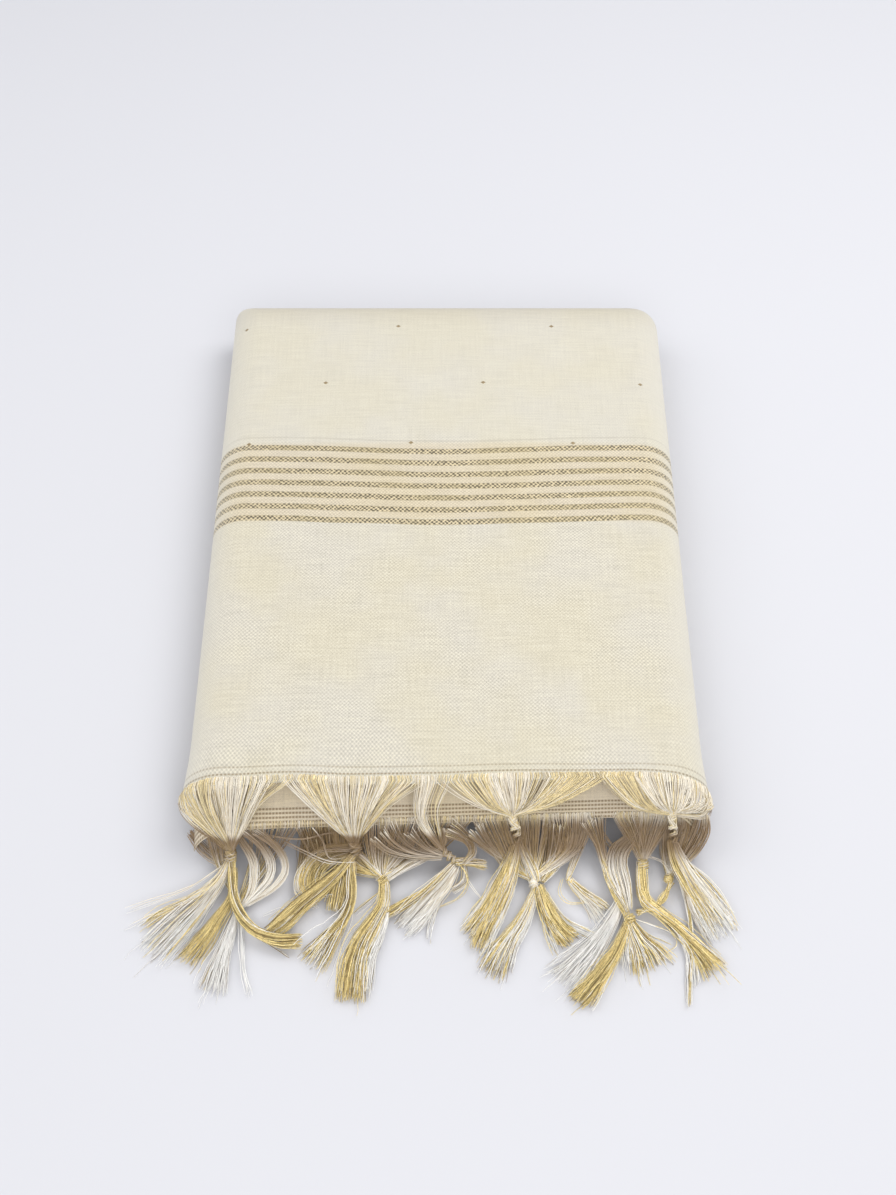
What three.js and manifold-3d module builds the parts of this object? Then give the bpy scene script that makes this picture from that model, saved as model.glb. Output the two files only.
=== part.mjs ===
// A folded dupatta that lies flat, with the knotted fringe of both its ends at the near edge.
// Millimetres, +Z up, +Y away from the fringe. The origin is the middle of the flat underside.

import * as THREE from "three";
import { mergeVertices } from "three/addons/utils/BufferGeometryUtils.js";
import Module from "manifold-3d";

// The whole cut, and how it is folded: gate-folded to a quarter of its width, then halved
// three times along its length.
const CUT_WIDTH = 944;
const CUT_LENGTH = 2400;
const FOLDS_ACROSS = 4;
const LAYERS = 8;

const STACK_WIDTH = CUT_WIDTH / FOLDS_ACROSS;
const STACK_DEPTH = CUT_LENGTH / LAYERS;
const STACK_HEIGHT = 37;
const LAYER_HEIGHT = STACK_HEIGHT / LAYERS;
const CROWN = 1.5;

// Four plies of cloth that lie together make one wall.
const PLY = 0.6;
const WALL = PLY * FOLDS_ACROSS;
const SEAM_GAP = 0.4;

// The first end rolls over both sides and right round the far fold.
const SIDE_ROLL = STACK_HEIGHT / 2;
const FAR_ROLL = 13;
const SIDE_TURN = THREE.MathUtils.degToRad(103);
const FAR_TURN = THREE.MathUtils.degToRad(164);
const ROLL_LEVEL = STACK_HEIGHT - SIDE_ROLL;
const FLAT_HALF_WIDTH = STACK_WIDTH / 2 - SIDE_ROLL;
const FAR_EDGE = 149;
const FLAT_FAR = FAR_EDGE - FAR_ROLL;
const FIRST_HEM = FAR_EDGE - STACK_DEPTH;
const LEFT_CORNER_POWER = 9;
const RIGHT_CORNER_POWER = 2.6;

// The second end comes out under the first and slopes down to its own hem.
const SECOND_START = { y: -137.5, z: 33.2 };
const SECOND_HEM = { left: -168.6, right: -160.2, z: 16.5 };
const SECOND_FLAT_HALF_WIDTH = 99;
const SECOND_ROLL = 16;
const SECOND_TURN = THREE.MathUtils.degToRad(75);
const SECOND_BULGE = 1;
const SECOND_END_REACH = { left: 6, right: 11 };
const SECOND_END_POWER = 10;

// The near edges of the hidden layers: two loops, one above the other.
const NEAR_LOOPS = [
  { low: 0, high: 18.4, tip: 146 },
  { low: 18.4, high: STACK_HEIGHT - WALL - SEAM_GAP, tip: 137 },
];
const SIDE_FOLDS = 3;
const SIDE_FOLD_NOSE = 3.2;
const SIDE_FOLD_INSET = 1;
const SIDE_FOLD_STAGGER = 0.8;
// Where the rings round the hidden layers lie: as shares of a side fold, as heights above the
// side folds, and as shares of the width on top.
const FOLD_RINGS = [0.15, 0.5, 0.85, 1];
const LOOP_RINGS = [14.2, 18.2, 18.8, 21.5, 25.5, 29, 31.5, 33.2];
const TOP_RINGS = [1, 0.9, 0.7, 0.4];
const FOLD_TOLERANCE = 1e-6;
const FOOT_INSET = 4 * SEAM_GAP;

// The rounding of each corner of the hidden layers, seen from above.
const CORNER_ANGLES = [0, 30, 60, 90];
const CORNERS = {
  nearLow: 8,
  nearHigh: 16,
  farLow: 18,
  farLeft: 7,
  farRight: 13,
};

// How far the first hem stands above its line, and in front of it, across the stack.
const HEM_COURSE = [
  { x: -118, lift: -1, reach: 3 },
  { x: -96, lift: 0, reach: 3.6 },
  { x: -69, lift: 2, reach: 3.4 },
  { x: -42, lift: -1, reach: 3.2 },
  { x: -10, lift: 0.5, reach: 3.4 },
  { x: 33, lift: 1.5, reach: 2 },
  { x: 86, lift: 1.8, reach: 1.6 },
  { x: 118, lift: -1.5, reach: 2 },
];
const HEM_DROOP = 2.5;
const HEM_BEND = 26;
// Towards its ends the first hem comes forward, and flares.
const HEM_END_REACH = { left: 2, right: 2.5 };
const HEM_END_POWER = 8;
const HEM_FLARE = 3;

// How many rings of points each stretch of a wall has.
const FIRST_RINGS = { roll: 7, across: 11, hem: 4, along: 9, far: 10 };
const SECOND_RINGS = { roll: 5, across: 13, along: 5 };

// Soft troughs that cross the first end, from one side to the other.
const TROUGHS = [
  { x: -60, y: 60, long: 70, wide: 16, deep: 0.5 },
  { x: 40, y: -40, long: 90, wide: 14, deep: 0.6 },
  { x: -15, y: -95, long: 60, wide: 12, deep: 0.5 },
  { x: 75, y: 95, long: 50, wide: 14, deep: 0.5 },
];

// A lock is a bundle of fringe threads with three sides, thinner at its root.
const LOCK_SIDES = 3;
const FAN_LOCK = { tip: 0.55, root: 0.3, steps: 3 };
const TAIL_LOCK = { tip: 0.6, root: 0.35, steps: 4 };
const FAN_GAP = 0.9;
const ROOT_SPACING = 0.5;
const FLOOR_CLEARANCE = 0.4;
const KNOT_SEGMENTS = { round: 8, high: 6 };
const SIMPLIFY = 0.08;
const MERGE_TOLERANCE = 1e-4;

// One row for each tassel:
//   hem    the edge that its threads come from
//   knot   the line that the knot is wound round, from top to bottom
//   girth  the knot's radius
//   fans   bundles from the hem into the knot, between two places along the hem, by way of a point
//   tails  bundles out of the knot, by way of points, that end between two points
const TASSELS = [
  {
    name: "tassel_first_1",
    hem: "first",
    knot: [[-97, -175.5, 11], [-97, -178, 7]],
    girth: 2.4,
    fans: [
      { from: -117, to: -108, by: [-105, -169, 22], locks: 4 },
      { from: -104, to: -82, by: [-96, -168, 23], locks: 7 },
    ],
    tails: [
      { by: [[-105, -191, 5], [-116, -201, 3.4]], ends: [[-138, -216, 2], [-127, -227, 2]], locks: 5 },
      { by: [[-98, -197, 6], [-104, -209, 5]], ends: [[-119, -222, 2.4], [-111, -227, 2.4]], locks: 4 },
      { by: [[-95, -192, 7.5], [-88, -207, 6.5]], ends: [[-66, -213, 5], [-64, -219, 3]], locks: 5 },
    ],
  },
  {
    name: "tassel_first_2",
    hem: "first",
    knot: [[-41, -172, 12], [-40, -175, 7.5]],
    girth: 2.6,
    fans: [
      { from: -63, to: -56, by: [-52, -163, 23], locks: 3 },
      { from: -52, to: -28, by: [-42, -163, 23], locks: 7 },
      { from: -22, to: -17, by: [-34, -162, 22], locks: 2 },
    ],
    tails: [
      { by: [[-50, -187, 9], [-61, -199, 7.5]], ends: [[-79, -206, 5], [-72, -212, 3]], locks: 5 },
      { by: [[-45, -189, 6.5], [-43, -203, 5]], ends: [[-65, -225, 2], [-57, -229, 2]], locks: 4 },
    ],
  },
  {
    name: "tassel_first_3",
    hem: "first",
    knot: [[-1, -175, 10], [4, -179, 7.5]],
    girth: 1.9,
    fans: [{ from: -8, to: -6, by: [-11, -164, 23], locks: 2 }],
    tails: [
      { by: [[10, -181, 6]], ends: [[19, -179, 6], [19, -181, 4.5]], locks: 2 },
      { by: [[-4, -192, 4]], ends: [[-23, -204, 2], [-15, -211, 2]], locks: 4 },
      { by: [[-3, -188, 7]], ends: [[-27, -201, 6], [-26, -205, 5]], locks: 2 },
    ],
  },
  {
    name: "tassel_first_4",
    hem: "first",
    knot: [[30, -164.5, 23], [33, -171, 12]],
    girth: 2.2,
    fans: [
      { from: 6, to: 17, by: [18, -158, 29], locks: 4 },
      { from: 22, to: 40, by: [30, -158, 29], locks: 6 },
      { from: 50, to: 61, by: [43, -158, 28], locks: 3 },
    ],
    tails: [{ by: [[29, -183, 9], [24, -194, 5.5]], ends: [[6, -212, 2.4], [23, -213, 4.6]], locks: 8 }],
  },
  {
    name: "tassel_first_5",
    hem: "first",
    knot: [[101.5, -163.5, 23], [103, -171, 12]],
    girth: 2.1,
    fans: [
      { from: 76, to: 86, by: [90, -158, 30], locks: 4 },
      { from: 90, to: 106, by: [100, -158, 30], locks: 5 },
      { from: 110, to: 117, by: [111, -161, 24], locks: 3 },
    ],
    tails: [
      { by: [[108, -184, 8], [115, -196, 5]], ends: [[119, -216, 4.8], [130, -212, 3]], locks: 6 },
      { by: [[107, -190, 5.5], [108, -211, 5]], ends: [[104, -245, 1.6], [107, -245, 1.6]], locks: 2 },
    ],
  },
  {
    name: "tassel_second_1",
    hem: "second",
    knot: [[-92, -198, 2.9], [-93, -202, 2.7]],
    girth: 1.6,
    fans: [
      { from: -90, to: -82, by: [-84, -184, 4.5], locks: 4 },
      { from: -78, to: -68, by: [-74, -186, 4], locks: 4 },
    ],
    tails: [{ by: [[-95, -212, 2]], ends: [[-107, -236, 1.6], [-95, -242, 1.6]], locks: 6 }],
  },
  {
    name: "tassel_second_2",
    hem: "second",
    knot: [[-29, -185.5, 5], [-27, -188.5, 4]],
    girth: 2.4,
    fans: [
      { from: -56, to: -48, by: [-47, -175, 4], locks: 3 },
      { from: -38, to: -30, by: [-32, -176, 8], locks: 4 },
      { from: -26, to: -16, by: [-24, -178, 7], locks: 4 },
    ],
    tails: [{ by: [[-28, -199, 3], [-37, -216, 2.2]], ends: [[-47, -236, 1.6], [-31, -242, 1.6]], locks: 8 }],
  },
  {
    name: "tassel_second_3",
    hem: "second",
    knot: [[39, -187, 5], [40, -190, 4]],
    girth: 2.3,
    fans: [
      { from: 14, to: 24, by: [31, -178, 6], locks: 4 },
      { from: 46, to: 58, by: [49, -178, 7], locks: 5 },
    ],
    tails: [
      { by: [[36, -204, 2.8]], ends: [[12, -226, 1.6], [25, -234, 1.6]], locks: 5 },
      { by: [[47, -203, 3]], ends: [[50, -217, 1.8], [61, -215, 3.6]], locks: 5 },
    ],
  },
  {
    name: "tassel_second_4",
    hem: "second",
    knot: [[55, -185.5, 3.4], [57, -187.5, 3]],
    girth: 1.5,
    fans: [{ from: 62, to: 64, by: [57, -177, 6], locks: 2 }],
    tails: [{ by: [[62, -193, 2.4]], ends: [[67, -206, 1.6], [74, -198, 1.6]], locks: 4 }],
  },
  {
    name: "tassel_second_5",
    hem: "second",
    knot: [[81, -204, 4], [82, -207, 3.6]],
    girth: 2.6,
    fans: [
      { from: 67, to: 73, by: [75, -185, 4.6], locks: 4 },
      { from: 76, to: 82, by: [81, -185, 4.6], locks: 4 },
    ],
    tails: [
      { by: [[70, -213, 2.4]], ends: [[45, -227, 1.6], [56, -235, 1.6]], locks: 5 },
      { by: [[76, -220, 3]], ends: [[54, -239, 1.8], [64, -246, 1.8]], locks: 5 },
      { by: [[86, -213, 2.6]], ends: [[85, -225, 1.8], [98, -219, 1.8]], locks: 5 },
    ],
  },
  {
    name: "tassel_second_6",
    hem: "second",
    knot: [[89, -178.5, 7], [89, -181.5, 5.5]],
    girth: 2.3,
    fans: [{ from: 85, to: 99, by: [90, -171, 10], locks: 6 }],
    tails: [
      {
        by: [[90, -193, 6], [99, -206, 3.4], [110, -215, 2.6]],
        ends: [[116, -236, 1.6], [128, -228, 1.6]],
        locks: 6,
      },
    ],
  },
  {
    name: "tassel_second_7",
    hem: "second",
    knot: [[101, -184.5, 3.4], [100, -187, 3]],
    girth: 1.7,
    fans: [{ from: 101, to: 104, by: [102, -174, 6], locks: 2 }],
    tails: [{ by: [[97, -193, 2.2]], ends: [[88, -199, 1.6], [87, -202, 1.6]], locks: 2 }],
  },
];

const CLOTH_CREAM = 0xe6dcc6;
const CLOTH_SHADE = 0xd9cfb9;
const FRINGE_GOLD = 0xd8bd84;
const FRINGE_CREAM = 0xe8dcc2;

const wasm = await Module();
wasm.setup();

const { lerp, clamp } = THREE.MathUtils;

function smoothTable(rows, column, x) {
  const last = rows.length - 1;
  const held = clamp(x, rows[0].x, rows[last].x);
  const next = Math.max(1, rows.findIndex((row) => row.x >= held));
  const a = rows[next - 1];
  const b = rows[next];
  const share = (held - a.x) / (b.x - a.x);
  return lerp(a[column], b[column], share * share * (3 - 2 * share));
}

// The soft rise and fall of the stack's top.
function topRelief(x, y) {
  const flatX = clamp(x, -FLAT_HALF_WIDTH, FLAT_HALF_WIDTH);
  const flatY = clamp(y, -FLAT_FAR, FLAT_FAR);
  let relief = CROWN * (1 - (flatX / FLAT_HALF_WIDTH) ** 2) * (1 - (flatY / FLAT_FAR) ** 4);
  for (const { x: middleX, y: middleY, long, wide, deep } of TROUGHS) {
    relief -= deep * Math.exp(-(((flatX - middleX) / long) ** 2) - ((flatY - middleY) / wide) ** 2);
  }
  return relief;
}

// The first end: a flat top whose sides and far edge roll down and under. Depth 0 is its outer face.
function firstEndPoint(across, along, depth = 0) {
  const sideExcess = Math.max(Math.abs(across) - FLAT_HALF_WIDTH, 0) / SIDE_ROLL;
  const farExcess = Math.max(along - FLAT_FAR, 0) / SIDE_ROLL;
  const power = across < 0 ? LEFT_CORNER_POWER : RIGHT_CORNER_POWER;
  const excess = (sideExcess ** power + farExcess ** power) ** (1 / power);
  const turn = Math.min(excess, FAR_TURN);
  const sideShare = excess > 0 ? sideExcess / excess : 0;
  const farShare = excess > 0 ? farExcess / excess : 0;
  const nearness = clamp((FIRST_HEM + HEM_BEND - along) / HEM_BEND, 0, 1);
  const flatX = clamp(across, -FLAT_HALF_WIDTH, FLAT_HALF_WIDTH);
  const flatY = Math.min(along, FLAT_FAR);
  const sideRoll = SIDE_ROLL - depth;
  const x = flatX + Math.sign(across) * sideRoll * Math.sin(turn) * sideShare;
  const endShare = nearness ** 2 * Math.abs(x / (STACK_WIDTH / 2)) ** HEM_END_POWER;
  const endReach = endShare * (across < 0 ? HEM_END_REACH.left : HEM_END_REACH.right);
  const reach = endReach + smoothTable(HEM_COURSE, "reach", x) * nearness ** 2;
  const flare = endShare * Math.sign(across) * HEM_FLARE;
  const y = flatY + (FAR_ROLL - depth) * Math.sin(turn) * farShare - reach;
  const lift = (smoothTable(HEM_COURSE, "lift", x) - HEM_DROOP) * nearness ** 2;
  const z = ROLL_LEVEL + sideRoll * Math.cos(turn) + topRelief(x, y) + lift;
  return new THREE.Vector3(x + flare, y, z);
}

// The second end: inward runs from its hem, 0, to its hidden start, 1.
function secondEndPoint(across, inward, depth = 0) {
  const roll = Math.max(Math.abs(across) - SECOND_FLAT_HALF_WIDTH, 0) / SECOND_ROLL;
  const flatX = clamp(across, -SECOND_FLAT_HALF_WIDTH, SECOND_FLAT_HALF_WIDTH);
  const x = flatX + Math.sign(across) * (SECOND_ROLL - depth) * Math.sin(roll);
  const endShare = Math.abs(x / (STACK_WIDTH / 2)) ** SECOND_END_POWER;
  const reach = endShare * (across < 0 ? SECOND_END_REACH.left : SECOND_END_REACH.right);
  const hemY = lerp(SECOND_HEM.left, SECOND_HEM.right, (x + STACK_WIDTH / 2) / STACK_WIDTH) - reach;
  const slope = Math.atan2(SECOND_START.z - SECOND_HEM.z, SECOND_START.y - hemY);
  const fall = SECOND_ROLL - (SECOND_ROLL - depth) * Math.cos(roll);
  const y = lerp(hemY, SECOND_START.y, inward) + depth * Math.sin(slope);
  const bulge = SECOND_BULGE * Math.sin(Math.PI * inward);
  const z = lerp(SECOND_HEM.z, SECOND_START.z, inward) + bulge - fall;
  return new THREE.Vector3(x, y, z);
}

function spread(from, to, count) {
  return Array.from({ length: count }, (_, i) => lerp(from, to, i / (count - 1)));
}

// A closed wall between two faces of the same sheet, the inner one a wall's thickness deep.
function wallGeometry(pointAt, columns, rows) {
  const face = (depth) => rows.flatMap((row) => columns.map((column) => pointAt(column, row, depth)));
  const positions = [...face(0), ...face(WALL)].flatMap(({ x, y, z }) => [x, y, z]);

  const wide = columns.length;
  const high = rows.length;
  const sheet = wide * high;
  const indices = [];
  const quad = (a, b, c, d) => indices.push(a, b, c, a, c, d);
  for (let j = 0; j < high - 1; j += 1) {
    for (let i = 0; i < wide - 1; i += 1) {
      const a = j * wide + i;
      quad(a, a + 1, a + wide + 1, a + wide);
      quad(sheet + a, sheet + a + wide, sheet + a + wide + 1, sheet + a + 1);
    }
  }
  for (let i = 0; i < wide - 1; i += 1) {
    const top = (high - 1) * wide + i;
    quad(i, sheet + i, sheet + i + 1, i + 1);
    quad(top, top + 1, sheet + top + 1, sheet + top);
  }
  for (let j = 0; j < high - 1; j += 1) {
    const left = j * wide;
    const right = left + wide - 1;
    quad(left, left + wide, sheet + left + wide, sheet + left);
    quad(right, sheet + right, sheet + right + wide, right + wide);
  }
  const geometry = new THREE.BufferGeometry();
  geometry.setAttribute("position", new THREE.Float32BufferAttribute(positions, 3));
  geometry.setIndex(indices);
  return geometry;
}

// Places across a wall: closer together on the rolls at its sides than on its flat middle.
function wallColumns(flatHalfWidth, roll, rings) {
  const rollRight = spread(flatHalfWidth, flatHalfWidth + roll, rings.roll);
  const flat = spread(-flatHalfWidth, flatHalfWidth, rings.across);
  return [...rollRight.map((x) => -x).reverse(), ...flat.slice(1, -1), ...rollRight];
}

function firstEndGeometry() {
  const side = SIDE_ROLL * SIDE_TURN;
  const far = SIDE_ROLL * FAR_TURN;
  const columns = wallColumns(FLAT_HALF_WIDTH, side, FIRST_RINGS);
  const hemRows = spread(FIRST_HEM, FIRST_HEM + HEM_BEND, FIRST_RINGS.hem);
  const flatRows = spread(FIRST_HEM + HEM_BEND, FLAT_FAR, FIRST_RINGS.along).slice(1);
  const farRows = spread(FLAT_FAR, FLAT_FAR + far, FIRST_RINGS.far).slice(1);
  return wallGeometry(firstEndPoint, columns, [...hemRows, ...flatRows, ...farRows]);
}

function secondEndGeometry() {
  const columns = wallColumns(SECOND_FLAT_HALF_WIDTH, SECOND_ROLL * SECOND_TURN, SECOND_RINGS);
  return wallGeometry(secondEndPoint, columns, spread(0, 1, SECOND_RINGS.along));
}

// How far a rounded fold reaches at a height: its tip, less the fall of an ellipse.
function foldReach(tip, nose, low, high, z) {
  const middle = (low + high) / 2;
  const share = clamp((z - middle) / ((high - low) / 2), -1, 1);
  return tip - nose * (1 - Math.sqrt(1 - share * share));
}

function sideReach(z) {
  const innerRoll = SIDE_ROLL - WALL - SEAM_GAP;
  const visibleTop = SIDE_FOLDS * LAYER_HEIGHT;
  if (z >= visibleTop) {
    const share = clamp((z - ROLL_LEVEL) / innerRoll, -1, 1);
    return FLAT_HALF_WIDTH + innerRoll * Math.sqrt(1 - share * share);
  }
  const fold = Math.max(Math.ceil(z / LAYER_HEIGHT - FOLD_TOLERANCE) - 1, 0);
  const low = fold * LAYER_HEIGHT;
  const tip = STACK_WIDTH / 2 - SIDE_FOLD_INSET - SIDE_FOLD_STAGGER * (fold % 2);
  return foldReach(tip, SIDE_FOLD_NOSE, low, low + LAYER_HEIGHT, z);
}

function nearReach(z) {
  const loop = NEAR_LOOPS.find(({ high }) => z <= high) ?? NEAR_LOOPS[1];
  return foldReach(loop.tip, (loop.high - loop.low) / 2, loop.low, loop.high, z);
}

function farReach(z) {
  const innerRoll = SIDE_ROLL - WALL - SEAM_GAP;
  const lowest = ROLL_LEVEL - innerRoll * Math.cos(Math.PI - FAR_TURN);
  const share = clamp((Math.max(z, lowest) - ROLL_LEVEL) / innerRoll, -1, 1);
  const foot = z < lowest ? FOOT_INSET : 0;
  return FLAT_FAR + (FAR_ROLL - WALL - SEAM_GAP) * Math.sqrt(1 - share * share) - foot;
}

// A ring round the stack at one height, its corners rounded.
function stackRing(z, shrink) {
  const halfWidth = sideReach(z) * shrink;
  const near = -nearReach(z) * shrink;
  const far = farReach(z) * shrink;
  const low = z <= SIDE_FOLDS * LAYER_HEIGHT;
  const nearRadius = z <= NEAR_LOOPS[0].high ? CORNERS.nearLow : CORNERS.nearHigh;
  const corners = [
    { signX: 1, edgeY: near, radius: nearRadius, start: -90 },
    { signX: 1, edgeY: far, radius: low ? CORNERS.farLow : CORNERS.farRight, start: 0 },
    { signX: -1, edgeY: far, radius: low ? CORNERS.farLow : CORNERS.farLeft, start: 90 },
    { signX: -1, edgeY: near, radius: nearRadius, start: 180 },
  ];
  const arcs = corners.map(({ signX, edgeY, radius, start }) => {
    const x = signX * (halfWidth - radius);
    const y = edgeY - Math.sign(edgeY) * radius;
    return CORNER_ANGLES.map((angle) => {
      const turn = THREE.MathUtils.degToRad(start + angle);
      return new THREE.Vector2(x + radius * Math.cos(turn), y + radius * Math.sin(turn));
    });
  });
  return arcs.flatMap((arc, i) => {
    const next = arcs[(i + 1) % arcs.length][0];
    return [...arc, ...[1 / 3, 2 / 3].map((share) => arc.at(-1).clone().lerp(next, share))];
  });
}

function foldedLayersGeometry() {
  const top = STACK_HEIGHT - WALL - SEAM_GAP;
  const rings = [];
  const addRing = (z, shrink = 1) => {
    const relief = (point) => (z > ROLL_LEVEL ? topRelief(point.x, point.y) : 0);
    rings.push(stackRing(z, shrink).map((point) => new THREE.Vector3(point.x, point.y, z + relief(point))));
  };
  addRing(0);
  for (let fold = 0; fold < SIDE_FOLDS; fold += 1) {
    FOLD_RINGS.forEach((share) => addRing((fold + share) * LAYER_HEIGHT));
  }
  LOOP_RINGS.forEach((level) => addRing(level));
  TOP_RINGS.forEach((shrink) => addRing(top, shrink));

  const positions = rings.flat().flatMap(({ x, y, z }) => [x, y, z]);
  const around = rings[0].length;
  const last = (rings.length - 1) * around;
  const bottomCentre = rings.length * around;
  const topCentre = bottomCentre + 1;
  positions.push(0, 0, 0, 0, 0, top + topRelief(0, 0));
  const indices = [];
  for (let level = 0; level < rings.length - 1; level += 1) {
    for (let i = 0; i < around; i += 1) {
      const a = level * around + i;
      const b = level * around + ((i + 1) % around);
      indices.push(a, b, b + around, a, b + around, a + around);
    }
  }
  for (let i = 0; i < around; i += 1) {
    const next = (i + 1) % around;
    indices.push(bottomCentre, next, i, topCentre, last + i, last + next);
  }
  const geometry = new THREE.BufferGeometry();
  geometry.setAttribute("position", new THREE.Float32BufferAttribute(positions, 3));
  geometry.setIndex(indices);
  return geometry;
}

function solidFrom(geometry) {
  const bare = geometry.clone();
  bare.deleteAttribute("normal");
  bare.deleteAttribute("uv");
  const merged = mergeVertices(bare, MERGE_TOLERANCE);
  const mesh = new wasm.Mesh({
    numProp: 3,
    vertProperties: new Float32Array(merged.attributes.position.array),
    triVerts: new Uint32Array(merged.index.array),
  });
  return new wasm.Manifold(mesh);
}

function geometryFrom(solid) {
  const mesh = solid.getMesh();
  const geometry = new THREE.BufferGeometry();
  geometry.setAttribute("position", new THREE.Float32BufferAttribute(mesh.vertProperties, 3));
  geometry.setIndex(Array.from(mesh.triVerts));
  return geometry;
}

// A cone bent along a curve: its root is at the curve's start.
function lockGeometry(points, { tip, root, steps }) {
  const curve = new THREE.CatmullRomCurve3(points);
  const frames = curve.computeFrenetFrames(steps);
  const geometry = new THREE.CylinderGeometry(tip, root, 1, LOCK_SIDES, steps);
  const position = geometry.attributes.position;
  for (let i = 0; i < position.count; i += 1) {
    const share = clamp(position.getY(i) + 0.5, 0, 1);
    const frame = Math.round(share * steps);
    const place = curve.getPointAt(share);
    place.addScaledVector(frames.binormals[frame], position.getX(i));
    place.addScaledVector(frames.normals[frame], position.getZ(i));
    place.z = Math.max(place.z, FLOOR_CLEARANCE);
    position.setXYZ(i, place.x, place.y, place.z);
  }
  return geometry;
}

// Where a place across a sheet lies along its own surface, round the roll at its side.
function acrossFrom(x, flatHalfWidth, roll) {
  const beyond = Math.abs(x) - flatHalfWidth;
  return beyond > 0 ? Math.sign(x) * (flatHalfWidth + roll * Math.asin(Math.min(beyond / roll, 1))) : x;
}

function hemPoint(hem, x) {
  const edge = hem === "first"
    ? firstEndPoint(acrossFrom(x, FLAT_HALF_WIDTH, SIDE_ROLL), FIRST_HEM)
    : secondEndPoint(acrossFrom(x, SECOND_FLAT_HALF_WIDTH, SECOND_ROLL), 0);
  return edge.add(new THREE.Vector3(0, -FAN_GAP, -WALL / 2));
}

function knotGeometry(knot, girth) {
  const [top, bottom] = knot.map((point) => new THREE.Vector3(...point));
  const length = top.distanceTo(bottom) + 2 * girth;
  const geometry = new THREE.SphereGeometry(girth, KNOT_SEGMENTS.round, KNOT_SEGMENTS.high);
  geometry.scale(1, length / (2 * girth), 1);
  const upright = new THREE.Vector3(0, 1, 0);
  const direction = top.clone().sub(bottom).normalize();
  geometry.applyQuaternion(new THREE.Quaternion().setFromUnitVectors(upright, direction));
  const middle = top.clone().add(bottom).multiplyScalar(0.5);
  return geometry.translate(middle.x, middle.y, middle.z);
}

// Locks that leave one point side by side, and open out on the way to their ends.
function bundleGeometries(root, girth, by, ends, count, form) {
  const [first, last] = ends;
  const opening = last.clone().sub(first);
  const rootWidth = Math.min(ROOT_SPACING * count, girth);
  return Array.from({ length: count }, (_, i) => {
    const share = count > 1 ? i / (count - 1) : 0.5;
    const side = opening.clone().normalize().multiplyScalar((share - 0.5) * rootWidth);
    const start = root.clone().add(side);
    const middles = by.map((point, k) => {
      const openShare = (k + 1) / (by.length + 1);
      return point.clone().addScaledVector(opening, (share - 0.5) * openShare);
    });
    const end = first.clone().lerp(last, share);
    return lockGeometry([start, ...middles, end], form);
  });
}

function tasselGeometry({ hem, knot, girth, fans, tails }) {
  const [top, bottom] = knot.map((point) => new THREE.Vector3(...point));
  const locks = [];
  for (const { from, to, by, locks: count } of fans) {
    const ends = [hemPoint(hem, from), hemPoint(hem, to)];
    locks.push(...bundleGeometries(top, girth, [new THREE.Vector3(...by)], ends, count, FAN_LOCK));
  }
  for (const { by, ends, locks: count } of tails) {
    const vias = by.map((point) => new THREE.Vector3(...point));
    const tips = ends.map((point) => new THREE.Vector3(...point));
    locks.push(...bundleGeometries(bottom, girth, vias, tips, count, TAIL_LOCK));
  }
  let solid = solidFrom(knotGeometry(knot, girth));
  for (const lock of locks) {
    solid = solid.add(solidFrom(lock));
  }
  const bodies = solid.simplify(SIMPLIFY).decompose();
  return geometryFrom(bodies.sort((a, b) => b.volume() - a.volume())[0]);
}

function clothMaterial(color) {
  return new THREE.MeshStandardMaterial({ color, roughness: 0.85, metalness: 0 });
}

function fringeMaterial(color) {
  return new THREE.MeshStandardMaterial({ color, roughness: 0.45, metalness: 0.15 });
}

function addPiece(group, name, geometry, material) {
  const mesh = new THREE.Mesh(geometry, material);
  mesh.name = name;
  group.add(mesh);
}

const dupatta = new THREE.Group();
addPiece(dupatta, "folded_layers", foldedLayersGeometry(), clothMaterial(CLOTH_SHADE));
addPiece(dupatta, "first_end", firstEndGeometry(), clothMaterial(CLOTH_CREAM));
addPiece(dupatta, "second_end", secondEndGeometry(), clothMaterial(CLOTH_SHADE));
for (const tassel of TASSELS) {
  const color = tassel.hem === "first" ? FRINGE_GOLD : FRINGE_CREAM;
  addPiece(dupatta, tassel.name, tasselGeometry(tassel), fringeMaterial(color));
}

export default dupatta;
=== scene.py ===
"""A folded dupatta with a knotted fringe, lying on a pale floor.

Laid out as a Blender add-on and run as a script: each operator makes one piece or one group of
like pieces round the fixed frame. Shapes are worked out in millimetres and stored in metres.
"""

import math
from collections import namedtuple

import bpy
import numpy as np
from bpy.props import FloatProperty, FloatVectorProperty, IntProperty, PointerProperty
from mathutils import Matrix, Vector


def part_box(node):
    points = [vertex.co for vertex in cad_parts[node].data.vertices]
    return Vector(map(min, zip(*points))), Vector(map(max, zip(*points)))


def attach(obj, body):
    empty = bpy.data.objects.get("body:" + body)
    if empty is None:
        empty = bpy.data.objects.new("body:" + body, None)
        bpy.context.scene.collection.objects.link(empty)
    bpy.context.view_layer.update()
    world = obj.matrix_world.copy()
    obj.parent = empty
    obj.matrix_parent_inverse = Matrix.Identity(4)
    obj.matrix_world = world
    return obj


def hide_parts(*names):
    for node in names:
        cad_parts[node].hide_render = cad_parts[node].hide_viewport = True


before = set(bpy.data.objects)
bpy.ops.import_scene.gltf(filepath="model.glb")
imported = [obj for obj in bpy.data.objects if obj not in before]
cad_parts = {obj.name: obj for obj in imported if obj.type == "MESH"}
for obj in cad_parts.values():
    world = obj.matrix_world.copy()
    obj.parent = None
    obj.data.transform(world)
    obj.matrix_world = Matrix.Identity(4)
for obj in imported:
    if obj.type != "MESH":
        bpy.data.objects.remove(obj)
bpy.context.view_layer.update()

bl_info = {
    "name": "Folded Dupatta",
    "version": (1, 0, 0),
    "blender": (4, 5, 0),
    "location": "View3D > Sidebar > Dupatta",
    "description": "Builds a folded dupatta with zari stripes and a knotted fringe",
    "category": "Add Mesh",
}

MM = 0.001
BODY = "root"

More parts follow.
